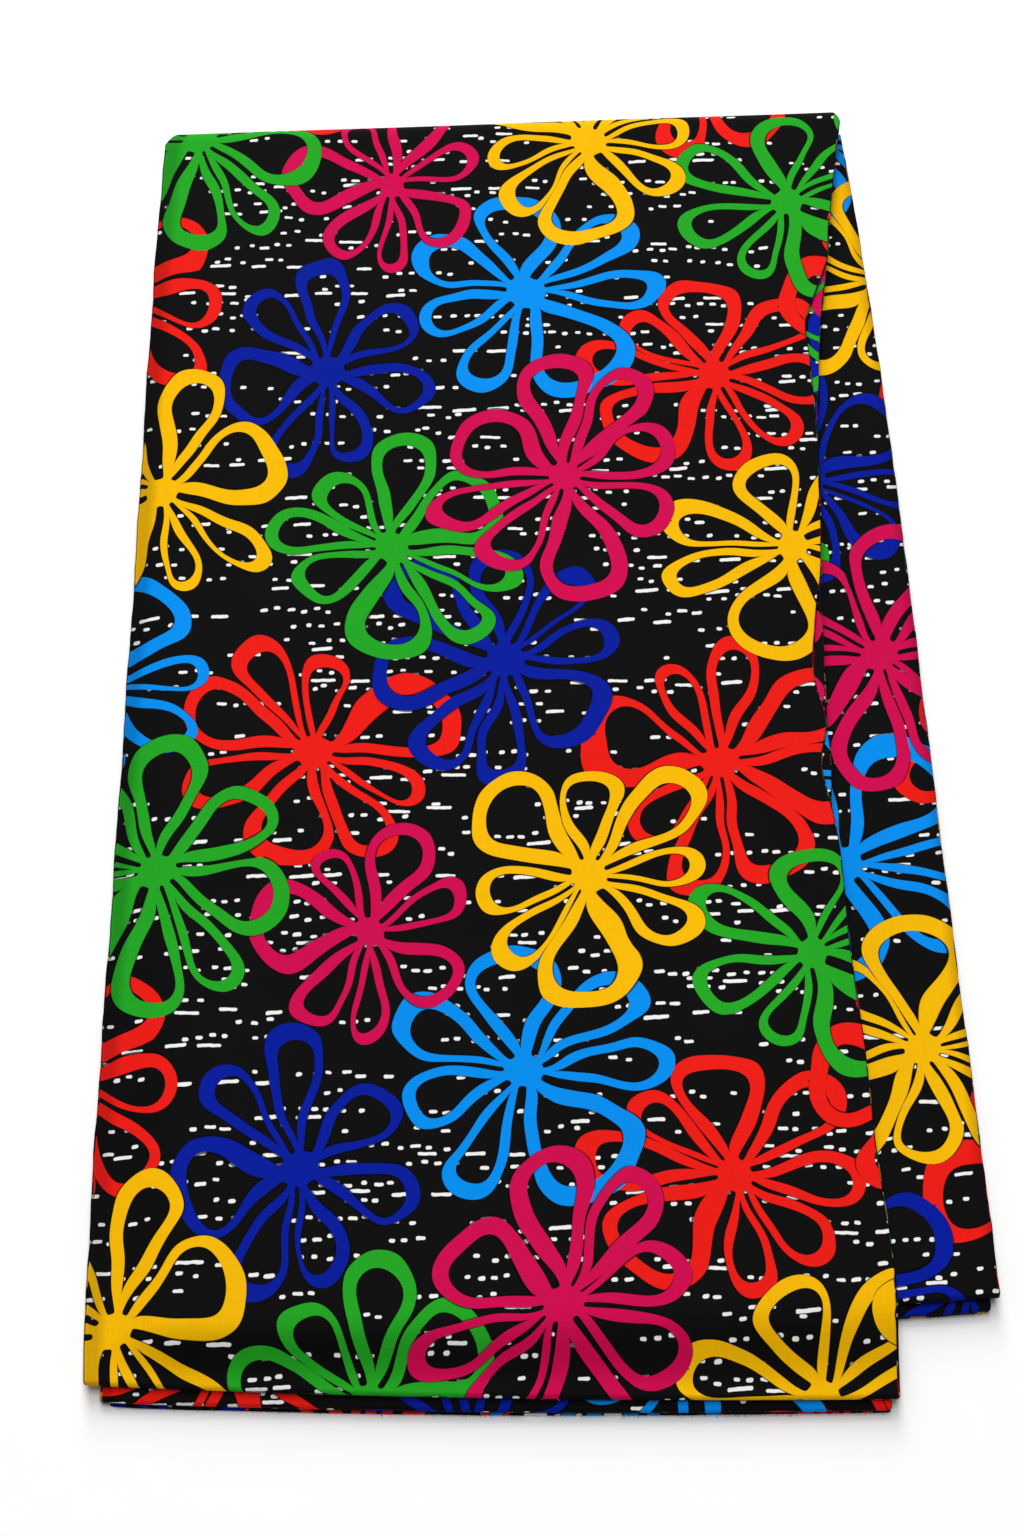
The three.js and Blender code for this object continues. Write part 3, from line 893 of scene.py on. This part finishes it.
    def cut_faces(self, points, added, lower, upper, left_edge, right_edge):
        """The faces of a cut end, where each ply of the cloth ends in its own uneven round."""
        profiles = []
        for column in range(1, len(lower) - 1):
            low, high = points[lower[column]], points[upper[column]]
            half = (high[2] - low[2]) / PLIES_IN_BAND / 2
            profile = [lower[column]]
            for ply in range(PLIES_IN_BAND):
                uneven = wander(low[0], ply * CUT_SEED_STEP + self.offset[0])
                out = CUT_STAND + CUT_UNEVEN * (0.5 + 0.5 * uneven)
                for degrees in CUT_STEPS:
                    angle = math.radians(degrees)
                    profile.append(len(points) + len(added))
                    height = low[2] + half * (2 * ply + 1) + half * math.sin(angle)
                    added.append((low[0], low[1] - out * math.cos(angle), height))
            profiles.append(profile + [upper[column]])
        faces = []
        for first, second in zip(profiles, profiles[1:]):
            for step in range(len(first) - 1):
                faces.append((first[step], second[step], second[step + 1], first[step + 1]))
        faces += [tuple(profiles[-1]), tuple(profiles[0][::-1])]
        return faces + self.side_faces(lower, upper, left_edge, right_edge)


def under_sides(at):
    """The sides of the front half's hidden layers."""
    return (HIDDEN_LEFT_IN, float(front_right_in(at) - front_under_in(at)))


class Value:
    """A value in a node tree, so that a formula reads as one."""

    def __init__(self, tree, socket):
        self.tree = tree
        self.socket = socket
        self.is_vector = socket.type in ("VECTOR", "RGBA")

    def __add__(self, other):
        return self.tree.join("ADD", self, other)

    def __sub__(self, other):
        return self.tree.join("SUBTRACT", self, other)

    def __rsub__(self, other):
        return self.tree.join("SUBTRACT", other, self)

    def __mul__(self, other):
        return self.tree.join("MULTIPLY", self, other)

    def __truediv__(self, other):
        return self.tree.join("DIVIDE", self, other)

    def __rtruediv__(self, other):
        return self.tree.join("DIVIDE", other, self)


class Tree:
    """Adds nodes to a tree and joins them."""

    def __init__(self, tree):
        self.tree = tree
        self.count = 0

    def add(self, kind, inputs=None, **settings):
        """Adds a node with its settings, and feeds its inputs by name or by number."""
        node = self.tree.nodes.new(kind)
        for name, value in settings.items():
            setattr(node, name, value)
        for key, value in (inputs or {}).items():
            self.feed(node.inputs[key], value)
        row, column = divmod(self.count, NODES_IN_ROW)
        node.location = (NODE_SPACING[0] * column, -NODE_SPACING[1] * row)
        self.count += 1
        return node

    def feed(self, socket, value):
        if isinstance(value, Value):
            self.tree.links.new(value.socket, socket)
        elif isinstance(value, bpy.types.NodeSocket):
            self.tree.links.new(value, socket)
        else:
            socket.default_value = value

    def outputs(self, node):
        """The outputs of a node by name, as values."""
        return {socket.name: Value(self, socket) for socket in node.outputs if socket.enabled and socket.name}

    def math(self, operation, *given):
        node = self.add("ShaderNodeMath", dict(enumerate(given)), operation=operation)
        return Value(self, node.outputs[0])

    def vector(self, operation, *given, scale=None):
        inputs = dict(enumerate(given))
        if scale is not None:
            inputs["Scale"] = scale
        node = self.add("ShaderNodeVectorMath", inputs, operation=operation)
        return Value(self, node.outputs["Value" if operation == "LENGTH" else "Vector"])

    def join(self, operation, first, second):
        """A sum, difference, product or quotient of two numbers, or of two vectors, or a vector scaled."""
        pair = (first, second)
        vectors = [isinstance(given, tuple) or getattr(given, "is_vector", False) for given in pair]
        if not any(vectors):
            return self.math(operation, first, second)
        if operation == "MULTIPLY" and not vectors[1]:
            return self.vector("SCALE", first, scale=second)
        return self.vector(operation, first, second)

    def pick(self, noise, ends):
        """Turns noise from 0 to 1 into a value between two ends."""
        return noise * (ends[1] - ends[0]) + ends[0]

    def combine(self, x=0.0, y=0.0, z=0.0):
        return Value(self, self.add("ShaderNodeCombineXYZ", {0: x, 1: y, 2: z}).outputs[0])

    def separate(self, value):
        node = self.add("ShaderNodeSeparateXYZ", {0: value})
        return tuple(Value(self, socket) for socket in node.outputs)

    def ramp(self, value, low, high, to_low=0.0, to_high=1.0):
        given = dict(enumerate((value, low, high, to_low, to_high)))
        node = self.add("ShaderNodeMapRange", given, interpolation_type="SMOOTHSTEP")
        return Value(self, node.outputs[0])

    def blend(self, factor, under, over):
        given = dict(zip(COLOUR_MIX_INPUTS, (factor, under, over)))
        return Value(self, self.add("ShaderNodeMix", given, data_type="RGBA").outputs[COLOUR_MIX_OUTPUT])

    def white_noise(self, place):
        """Three numbers from 0 to 1 that jump from one place to the next, and a fourth one."""
        node = self.add("ShaderNodeTexWhiteNoise", {"Vector": place}, noise_dimensions="3D")
        return self.separate(node.outputs["Color"]) + (Value(self, node.outputs["Value"]),)

    def noise(self, place, scale, detail=0.0):
        """Smooth noise, as a number and as a colour."""
        given = {"Vector": place, "Scale": scale, "Detail": detail}
        node = self.add("ShaderNodeTexNoise", given, noise_dimensions="3D")
        return Value(self, node.outputs[0]), Value(self, node.outputs[1])

    def drift(self, place, scale, distance):
        """A place moved by smooth noise, for lines drawn by hand."""
        return place + (self.noise(place, scale)[1] - (0.5, 0.5, 0.5)) * distance


def new_group(name, inputs, outputs):
    """A shader node group with named sockets: its tree, its inputs as values, and its output node."""
    group = bpy.data.node_groups.new(name, "ShaderNodeTree")
    for kind, labels in inputs:
        for label in labels:
            group.interface.new_socket(label, in_out="INPUT", socket_type=kind)
    for kind, label in outputs:
        group.interface.new_socket(label, in_out="OUTPUT", socket_type=kind)
    tree = Tree(group)
    return tree, tree.outputs(tree.add("NodeGroupInput")), tree.add("NodeGroupOutput")


def make_flower_group():
    """One layer of looped flowers, one in each cell of a grid, laid over the colours under it. Every loop is
    a teardrop with a smaller one cut out of it. Flowers and loops differ a little from one to the next."""
    tree, get, end = new_group(
        "Looped flowers",
        [(VECTOR, ("Cloth", "Shift", "Cell")),
         (COLOUR, ("Under", "Near left", "Near right", "Far left", "Far right")),
         (FLOAT, ("Cells", "Radius", "Jitter", "Seed"))],
        [(COLOUR, "Colour")])
    place = (get["Cloth"] - get["Shift"]) / get["Cell"]
    repeats = tree.combine(get["Cells"], get["Cells"], 1.0)
    cell = tree.vector("WRAP", tree.vector("FLOOR", place), repeats, (0.0, 0.0, 0.0))
    cell_x, cell_y, _ = tree.separate(cell)
    away_x, away_y, size, _ = tree.white_noise(tree.combine(cell_x, cell_y, get["Seed"]))
    turn, many, _, _ = tree.white_noise(tree.combine(cell_x, cell_y, get["Seed"] + FLOWER_SEED_STEP))

    # Where a point lies from its flower's middle
    jump = (tree.combine(away_x, away_y) - (0.5, 0.5, 0.0)) * (get["Jitter"] * 2.0)
    x, y, _ = tree.separate((tree.vector("FRACTION", place) - (0.5, 0.5, 0.0)) * get["Cell"] - jump)
    reach = tree.vector("LENGTH", tree.combine(x, y))
    angle = tree.math("ARCTAN2", y, x)
    radius = get["Radius"] * tree.pick(size, FLOWER_SIZE)

    # Which loop the point is in, with loops of uneven widths
    loops = tree.math("FLOOR", tree.pick(many, LOOPS_MORE)) + LOOPS_LEAST
    phase = turn * TWOFOLD_SPREAD
    twofold = tree.math("SINE", angle * 2.0 + phase)
    threefold = tree.math("SINE", angle * 3.0 + phase * THREEFOLD_SPREAD)
    uneven = twofold * UNEVEN_TWOFOLD + (threefold * UNEVEN_THREEFOLD + angle)
    sector = uneven * (loops / (2 * math.pi)) + turn
    number = tree.math("WRAP", tree.math("FLOOR", sector), loops, 0.0)
    first, second, third, fourth = tree.white_noise(tree.combine(number, turn * LOOP_SEED_SPREAD, LOOP_SEED))

    # Where it lies along the loop and beside its middle, as shares of the loop's length
    swing = (tree.math("FRACT", sector) - 0.5 + tree.pick(first, LOOP_LEAN)) * (2 * math.pi / loops)
    room = tree.separate(get["Cell"])[0] * 0.5 - get["Jitter"] * JITTER_ROOM
    length = tree.math("MINIMUM", radius * tree.pick(second, LOOP_LENGTH), room)
    along = reach * tree.math("COSINE", swing) / length
    beside = reach * tree.math("SINE", swing) / length

    def teardrop(place, width, taper):
        """Half the width of a teardrop at a place along it, from 0 at its point to 1 at its round end."""
        held = tree.math("MINIMUM", tree.math("MAXIMUM", place, 0.0), 1.0)
        half = tree.math("POWER", held, taper) * tree.math("SQRT", 1.0 - held) * width
        return half - tree.math("ABSOLUTE", place - held)

    wide = tree.pick(third, LOOP_WIDTH)
    outer = teardrop(along, wide, OUTER_TAPER) - tree.math("ABSOLUTE", beside)
    hole_start = tree.pick(fourth, HOLE_START)
    hole_place = (along - hole_start) / (tree.pick(first, HOLE_END) - hole_start)
    shift = (third - 0.5) * (along * HOLE_SHIFT)
    hole_wide = wide * tree.pick(second, HOLE_WIDTH)
    hole = teardrop(hole_place, hole_wide, HOLE_TAPER) - tree.math("ABSOLUTE", beside - shift)
    loop = tree.math("MINIMUM", outer, hole * -1.0) * length
    inside = tree.math("SMOOTH_MAX", loop, radius * HEART_RADIUS - reach, radius * HEART_BLEND)

    # The ink of the cell, with a thin dark line round it
    near = tree.blend(cell_x, get["Near left"], get["Near right"])
    far = tree.blend(cell_x, get["Far left"], get["Far right"])
    rimmed = get["Under"] * tree.ramp(inside, *RIM_EDGES, 1.0, RIM_SHADE)
    colour = tree.blend(tree.ramp(inside, *INK_EDGES), rimmed, tree.blend(cell_y, near, far))
    tree.feed(end.inputs["Colour"], colour)
    return tree.tree


def make_marks_group():
    """Small undyed marks in loose rows and short runs: ovals, and now and then a dash."""
    tree, get, end = new_group(
        "Undyed marks",
        [(VECTOR, ("Cloth",)),
         (FLOAT, ("Pitch across", "Pitch along", "Share", "Dash share", "Dash length", "Jump", "Seed"))],
        [(FLOAT, "Mark")])
    x, y, _ = tree.separate(get["Cloth"])
    row_place = y / get["Pitch along"]
    row = tree.math("FLOOR", row_place)
    slip = tree.white_noise(tree.combine(row, get["Seed"], ROW_SEED))[0]
    column_place = x / get["Pitch across"] + slip * ROW_SLIP
    column = tree.math("FLOOR", column_place)
    first, second, third, fourth = tree.white_noise(tree.combine(column, row, get["Seed"]))
    fifth, sixth, seventh, _ = tree.white_noise(tree.combine(row, column, get["Seed"] + MARK_SEED_STEP))

    # Which places have a mark, and which marks are dashes
    run_place = tree.math("FLOOR", (slip * MARKS_IN_RUN + column) / MARKS_IN_RUN)
    run = tree.white_noise(tree.combine(run_place, row, get["Seed"] + RUN_SEED_STEP))[0]
    present = tree.math("LESS_THAN", run, get["Share"]) * tree.math("LESS_THAN", first, MARKS_KEPT)
    is_dash = tree.math("LESS_THAN", second, get["Dash share"])
    dash_more = get["Dash length"] * tree.pick(fourth, DASH_PART)
    half_long = tree.pick(third, OVAL_HALF_LENGTH) + is_dash * dash_more
    half_high = tree.pick(fifth, MARK_HALF_HEIGHT) - is_dash * DASH_FLATTER

    # How far a point is inside the round-ended mark of its place, which leans a little
    across = (tree.math("FRACT", column_place) - 0.5) * get["Pitch across"]
    along = (tree.math("FRACT", row_place) - 0.5) * get["Pitch along"]
    room = tree.math("MAXIMUM", get["Pitch across"] * MARK_ROOM_ACROSS - half_long, 0.0)
    away_x = across - (sixth * 2.0 - 1.0) * room
    away_y = along - (seventh * 2.0 - 1.0) * get["Jump"]
    away_y = away_y - away_x * tree.pick(fifth, MARK_LEAN)
    body = tree.math("MAXIMUM", tree.math("ABSOLUTE", away_x) - (half_long - half_high), 0.0)
    inside = half_high - tree.vector("LENGTH", tree.combine(body, away_y))
    tree.feed(end.inputs["Mark"], tree.ramp(inside, *MARK_EDGES) * present)
    return tree.tree


def make_weave_group():
    """A plain weave: its relief, and the faint lightness of its threads."""
    tree, get, end = new_group(
        "Plain weave", [(VECTOR, ("Cloth",)), (FLOAT, ("Pitch",))], [(FLOAT, "Height"), (FLOAT, "Slub")])
    x, y, _ = tree.separate(get["Cloth"])
    turn = math.pi / get["Pitch"]
    over = tree.math("SINE", x * turn) * tree.math("SINE", y * turn)
    tree.feed(end.inputs["Height"], over * 0.5 + 0.5)
    along, across = SLUB_SCALES
    warp_slub = tree.noise(get["Cloth"] * (across, along, 1.0), 1.0)[0]
    weft_slub = tree.noise(get["Cloth"] * (along, across, 1.0), 1.0)[0]
    tree.feed(end.inputs["Slub"], (warp_slub + weft_slub) * 0.5)
    return tree.tree


def use_group(tree, group, **values):
    """A group's outputs, with its inputs fed by name."""
    inputs = {label.replace("_", " "): value for label, value in values.items()}
    return tree.outputs(tree.add("ShaderNodeGroup", inputs, node_tree=group))


def new_material(name):
    """An empty material, and the tree that makes it."""
    material = bpy.data.materials.new(name)
    material.use_nodes = True
    material.node_tree.nodes.clear()
    return material, Tree(material.node_tree)


def finish_material(tree, colour, roughness, specular, normal=None):
    """Ends a material's tree in a plain shader."""
    given = {"Base Color": colour, "Roughness": roughness, "Specular IOR Level": specular, "Normal": normal}
    given = {name: value for name, value in given.items() if value is not None}
    shader = tree.add("ShaderNodeBsdfPrincipled", given)
    tree.add("ShaderNodeOutputMaterial", {"Surface": shader.outputs[0]})


def make_print_material(colours, sizes):
    """The printed cotton: ground, undyed marks and flowers, on a matte plain weave, with painted shade at its
    sides.
    """
    material, tree = new_material("Printed cotton")
    cloth = tree.outputs(tree.add("ShaderNodeUVMap", uv_map="Cloth"))["UV"]
    drawn = tree.drift(cloth, *FLOWER_WOBBLE)
    marked = tree.drift(cloth, *MARK_WOBBLE)

    patchy = tree.noise(cloth, PATCH_SCALE)[0]
    lighter = tuple(value * PATCH_LIGHTER for value in colours.ground[:3]) + (1.0,)
    ground = tree.blend(tree.ramp(patchy, *PATCH_EDGES), tuple(colours.ground), lighter)
    marks = make_marks_group()
    kinds = [use_group(tree, marks, Cloth=marked, **kind)["Mark"] for kind in MARK_KINDS]
    colour = tree.blend(tree.math("MAXIMUM", *kinds), ground, tuple(colours.marks))
    flowers = make_flower_group()
    cell = (REPEAT_WIDTH * MM / FLOWER_CELLS, REPEAT_LENGTH * MM / FLOWER_CELLS, 1.0)
    for (shift_x, shift_y), radius, seed, names in FLOWER_LAYERS:
        inks = {place: tuple(getattr(colours, name)) for place, name in zip(FLOWER_PLACES, names)}
        colour = use_group(
            tree, flowers, Cloth=drawn, Under=colour, Shift=(shift_x * MM, shift_y * MM, 0.0), Cell=cell,
            Cells=float(FLOWER_CELLS), Radius=radius * MM, Jitter=FLOWER_JITTER * MM, Seed=seed,
            **inks)["Colour"]

    weave = use_group(tree, make_weave_group(), Cloth=cloth, Pitch=sizes.thread_pitch)
    faded = tree.pick(tree.noise(cloth, FADE_SCALE)[0], FADE_SHADES)
    # Painted shade at the sides, read from the mesh, takes a share of the colour away; slubs and fading are
    # the cotton's own
    side = tree.outputs(tree.add("ShaderNodeAttribute", attribute_name="Side"))["Fac"]
    dyed_and_side_shaded = colour * ((weave["Slub"] * SLUB_SHADE + faded) * (1.0 - side * PAINTED_SIDE_SHADE))
    bump = tree.add("ShaderNodeBump", {
        "Height": weave["Height"], "Strength": WEAVE_STRENGTH, "Distance": sizes.weave_height})
    finish_material(tree, dyed_and_side_shaded, tree.pick(patchy, COTTON_ROUGHNESS), COTTON_SPECULAR, bump.outputs[0])
    return material


def make_yarn_material(colours):
    """The loose yarn ends at the cloth's cut ends, with dye through them in places."""
    material, tree = new_material("Yarn ends")
    place = tree.add("ShaderNodeTexCoord").outputs["Object"]
    dye = tree.ramp(tree.noise(place, YARN_DYE_SCALE, 2.0)[0], *YARN_DYE_EDGES)
    pale = tuple(value * YARN_SHADE for value in colours.marks[:3]) + (1.0,)
    finish_material(tree, tree.blend(dye, tuple(colours.ground), pale), YARN_ROUGHNESS, YARN_SPECULAR)
    return material


def make_floor_material():
    """The pale seamless floor."""
    material, tree = new_material("Pale floor")
    grain = tree.noise(tree.add("ShaderNodeTexCoord").outputs["Object"], FLOOR_SCALE, 2.0)[0]
    finish_material(tree, tree.blend(grain, *FLOOR_TONES), FLOOR_ROUGHNESS, None)
    return material


def print_material():
    scene = bpy.context.scene
    made = bpy.data.materials.get("Printed cotton")
    return made or make_print_material(scene.wax_print_colours, scene.wax_print_sizes)


def make_yarn_tree():
    """Geometry nodes that set short bent yarn ends at random along a line of edges, all pointing to -Y."""
    group = bpy.data.node_groups.new("Yarn ends along a cut", "GeometryNodeTree")
    group.interface.new_socket("Line", in_out="INPUT", socket_type="NodeSocketGeometry")
    group.interface.new_socket("Yarns", in_out="OUTPUT", socket_type="NodeSocketGeometry")
    for label, kind in (("Count", "NodeSocketInt"), ("Length", FLOAT), ("Thickness", FLOAT), ("Stack", FLOAT),
                        ("Seed", "NodeSocketInt"), ("Finish", "NodeSocketMaterial")):
        group.interface.new_socket(label, in_out="INPUT", socket_type=kind)
    tree = Tree(group)
    get = tree.outputs(tree.add("NodeGroupInput"))

    def random_vector(low, high, shift):
        node = tree.add("FunctionNodeRandomValue", {0: low, 1: high, "Seed": get["Seed"] + shift},
                        data_type="FLOAT_VECTOR")
        return node.outputs[0]

    line = tree.add("GeometryNodeMeshToCurve", {"Mesh": get["Line"]})
    spread = tree.add(
        "GeometryNodeResampleCurve", {"Curve": line.outputs["Curve"], "Count": get["Count"]}, mode="COUNT")
    half_stack = get["Stack"] * 0.5
    lowest = tree.combine(-YARN_SLIP, 0.0, half_stack * -1.0)
    jump = random_vector(lowest, tree.combine(YARN_SLIP, 0.0, half_stack), 1.0)
    moved = tree.add("GeometryNodeSetPosition", {"Geometry": spread.outputs["Curve"], "Offset": jump})
    bend = tree.add("GeometryNodeCurveQuadraticBezier", dict(zip(("Start", "Middle", "End"), YARN_BEND)))
    bend.inputs["Resolution"].default_value = YARN_STEPS
    length = tree.combine(get["Length"], get["Length"], get["Length"])
    longer = tree.add("GeometryNodeTransform", {"Geometry": bend.outputs["Curve"], "Scale": length})
    section = tree.add("GeometryNodeCurvePrimitiveCircle", {"Radius": get["Thickness"] * 0.5})
    section.inputs["Resolution"].default_value = YARN_SIDES
    tube = tree.add("GeometryNodeCurveToMesh", {
        "Curve": longer.outputs["Geometry"], "Profile Curve": section.outputs["Curve"], "Fill Caps": True})
    placed = tree.add("GeometryNodeInstanceOnPoints", {
        "Points": moved.outputs["Geometry"], "Instance": tube.outputs["Mesh"],
        "Rotation": random_vector(*YARN_TURNS, 2.0), "Scale": random_vector(*YARN_SCALES, 3.0)})
    real = tree.add("GeometryNodeRealizeInstances", {"Geometry": placed.outputs["Instances"]})
    finished = tree.add("GeometryNodeSetMaterial", {
        "Geometry": real.outputs["Geometry"], "Material": get["Finish"]})
    tree.add("NodeGroupOutput", {"Yarns": finished.outputs["Geometry"]})
    return group


def make_yarns(name, station, creases, seed):
    """Loose yarn ends along the middle of a cut end."""
    context = bpy.context
    sizes = context.scene.wax_print_sizes
    across = np.linspace(YARN_MARGIN, 1 - YARN_MARGIN, YARN_LINE_POINTS)
    middle = np.full(YARN_LINE_POINTS, (station.low + station.high) / 2)
    side = mix(-station.sides[0], station.sides[1], across)
    points = in_model(np.stack(station.place(across, side, middle, creases, 0.0), axis=1))
    line = bpy.data.meshes.new(name + "_line")
    line.from_pydata(points.tolist(), [(index, index + 1) for index in range(YARN_LINE_POINTS - 1)], [])
    carrier = add_object(name + "_line", line)
    group = bpy.data.node_groups.get("Yarn ends along a cut") or make_yarn_tree()
    finish = bpy.data.materials.get("Yarn ends") or make_yarn_material(context.scene.wax_print_colours)
    modifier = carrier.modifiers.new("Yarns", "NODES")
    modifier.node_group = group
    values = {
        "Count": sizes.thread_count, "Length": sizes.thread_length, "Thickness": sizes.thread_thickness,
        "Stack": LAYER * MM * YARN_STACK, "Seed": seed, "Finish": finish,
    }
    for item in group.interface.items_tree:
        if item.item_type == "SOCKET" and item.in_out == "INPUT" and item.name in values:
            modifier[item.identifier] = values[item.name]
    evaluated = carrier.evaluated_get(context.evaluated_depsgraph_get())
    mesh = bpy.data.meshes.new_from_object(evaluated)
    bpy.data.objects.remove(carrier)
    if not mesh.polygons:
        raise RuntimeError("no yarn ends were made for " + name)
    yarns = add_object(name, mesh)
    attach(yarns, "root")
    return yarns


def make_cloth(node, layers, stations, cut_row=None, yarns=None, turned=False):
    """Makes one cloth piece with its print, in place of the solid of the same name, which it hides."""
    offset, (left_seed, right_seed) = PIECES[node]
    creases = FRONT_CREASES if node.startswith("front") else BACK_CREASES
    layer = Layer(
        "cloth_" + node, stations, left_plies(layers, left_seed), right_plies(layers, right_seed, turned),
        offset, creases, bpy.context.scene.wax_print_sizes, cut_row)
    layer.build()
    if yarns is not None:
        yarn_name, seed = yarns
        make_yarns(yarn_name, stations[cut_row], creases, seed)
    obj = layer.obj
    obj.data.materials.append(print_material())
    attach(obj, "root")
    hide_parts(node)


class WAXPRINT_OT_front_panel(bpy.types.Operator):
    """Builds the top stretch of the cloth, from the near fold's lip round the far fold to the floor"""
    bl_idname = "waxprint.front_panel"
    bl_label = "Front panel"

    def execute(self, context):
        straight = even_sides((0.0, 0.0))
        lip = near_stations("front", *heights(3, 4), "lip", sides=straight)
        start = share_from_near("front", FOLD_DEPTH + FOLD_GAP)
        run = run_of_stations("front", start, 0.0, *heights(4, 4), straight)
        stations = lip[::-1] + run + fold_stations(*heights(4, 4), (0.0, 0.0))
        make_cloth("front_panel", 1, stations)
        return {"FINISHED"}


class WAXPRINT_OT_front_layers(bpy.types.Operator):
    """Builds the front half's hidden layers, its second fold, and its lowest layer with a cut end"""
    bl_idname = "waxprint.front_layers"
    bl_label = "Front layers"

    def execute(self, context):
        start = share_from_near("front", FOLD_DEPTH + AIR)
        stations = run_of_stations("front", start, 0.0, *heights(0, 3), under_sides)
        stations += fold_stations(*heights(0, 3), HIDDEN_FOLD_SIDES)
        make_cloth("front_hidden_layers", 4, stations)
        second = near_stations("front", *heights(1, 2), "front_second")
        make_cloth("front_second_fold", 2, second[::-1])
        cut = near_stations("front", *heights(0, 0), "front_cut", rounded=False)
        make_cloth("front_cut_end", 1, cut[::-1], cut_row=0, yarns=("cloth_front_yarn_ends", 5))
        return {"FINISHED"}


class WAXPRINT_OT_back_layers(bpy.types.Operator):
    """Builds the back half: its top stretch, hidden layers and second fold, and the stretch on the floor"""
    bl_idname = "waxprint.back_layers"
    bl_label = "Back layers"

    def execute(self, context):
        start = AIR / BACK_LENGTH
        end = share_from_near("back", FOLD_DEPTH + FOLD_GAP)
        straight = even_sides((0.0, 0.0))
        panel = run_of_stations("back", start, end, *heights(0, 0), straight)
        panel += near_stations("back", *heights(0, 1), "lip", sides=straight)
        make_cloth("back_panel", 1, panel)
        hidden_end = share_from_near("back", FOLD_DEPTH + HIDDEN_GAP)
        hidden = run_of_stations("back", start, hidden_end, *heights(1, 3), even_sides(BACK_HIDDEN_SIDES))
        make_cloth("back_hidden_layers", 3, hidden, turned=True)
        second = near_stations("back", *heights(2, 3), "back_second")
        make_cloth("back_second_fold", 2, second)
        under = run_of_stations("back", start, end, *heights(4, 4), even_sides(UNDERSIDE_SIDES))
        under += near_stations("back", *heights(4, 4), "back_cut", rounded=False)
        make_cloth(
            "underside_panel", 1, under, cut_row=len(under) - 1, yarns=("cloth_underside_yarn_ends", 9))
        return {"FINISHED"}


class WAXPRINT_OT_stage(bpy.types.Operator):
    """Makes the pale floor, the soft lights and the camera"""
    bl_idname = "waxprint.stage"
    bl_label = "Stage"

    def execute(self, context):
        scene = context.scene
        stage = scene.wax_print_stage
        ways = ((-1, -1), (1, -1), (1, 1), (-1, 1))
        corners = [(x * FLOOR_REACH, y * FLOOR_REACH, FLOOR_HEIGHT) for x, y in ways]
        mesh = bpy.data.meshes.new("floor")
        mesh.from_pydata(corners, [], [(0, 1, 2, 3)])
        mesh.materials.append(make_floor_material())
        add_object("floor", mesh)

        world = bpy.data.worlds.new("Soft room")
        world.use_nodes = True
        background = world.node_tree.nodes["Background"]
        background.inputs["Color"].default_value = (1.0, 1.0, 1.0, 1.0)
        background.inputs["Strength"].default_value = stage.room_strength
        scene.world = world
        scene.view_settings.view_transform = "Standard"
        add_soft_light("far_light", FAR_LIGHT_PLACE, FAR_LIGHT_SIZE, stage.far_power)
        add_soft_light("top_light", TOP_LIGHT_PLACE, TOP_LIGHT_SIZE, stage.top_power)

        camera = bpy.data.cameras.new("camera")
        camera.lens = stage.lens
        camera.sensor_width = SENSOR_WIDTH
        camera.clip_start, camera.clip_end = CLIP_RANGE
        camera_obj = add_object("camera", camera)
        near = stage.distance * math.sin(stage.tilt)
        height = stage.distance * math.cos(stage.tilt)
        target = Vector(CAMERA_TARGET)
        away = (near * math.sin(stage.turn), -near * math.cos(stage.turn), height)
        camera_obj.location = target + Vector(away)
        aim_at(camera_obj, target)
        scene.camera = camera_obj
        return {"FINISHED"}


def add_soft_light(name, place, size, power):
    """Adds a rectangular light that faces the middle of the cloth."""
    light = bpy.data.lights.new(name, "AREA")
    light.shape = "RECTANGLE"
    light.size, light.size_y = size
    light.energy = power
    obj = add_object(name, light)
    obj.location = place
    aim_at(obj, Vector((0.0, 0.0, 0.0)))


def aim_at(obj, target):
    """Turns a camera or a light towards a point, with its upper side towards +Y or +Z."""
    obj.rotation_mode = "QUATERNION"
    obj.rotation_quaternion = (target - obj.location).to_track_quat("-Z", "Y")


class WAXPRINT_PT_panel(bpy.types.Panel):
    """Lists the steps that build the folded cloth"""
    bl_idname = "WAXPRINT_PT_panel"
    bl_label = "Folded wax print cloth"
    bl_space_type = "VIEW_3D"
    bl_region_type = "UI"
    bl_category = "Wax print"

    def draw(self, context):
        column = self.layout.column()
        for step in STEPS:
            column.operator(step.bl_idname)


STEPS = (
    WAXPRINT_OT_front_panel,
    WAXPRINT_OT_front_layers,
    WAXPRINT_OT_back_layers,
    WAXPRINT_OT_stage,
)
GROUPS = (
    ("wax_print_colours", WaxPrintColours),
    ("wax_print_sizes", WaxPrintSizes),
    ("wax_print_stage", WaxPrintStage),
)


def register():
    for name, group in GROUPS:
        bpy.utils.register_class(group)
        setattr(bpy.types.Scene, name, bpy.props.PointerProperty(type=group))
    for step in STEPS:
        bpy.utils.register_class(step)
    bpy.utils.register_class(WAXPRINT_PT_panel)


def unregister():
    bpy.utils.unregister_class(WAXPRINT_PT_panel)
    for step in reversed(STEPS):
        bpy.utils.unregister_class(step)
    for name, group in reversed(GROUPS):
        delattr(bpy.types.Scene, name)
        bpy.utils.unregister_class(group)


def main():
    register()
    bpy.ops.waxprint.front_panel()
    bpy.ops.waxprint.front_layers()
    bpy.ops.waxprint.back_layers()
    bpy.ops.waxprint.stage()


if __name__ == "__main__":
    main()
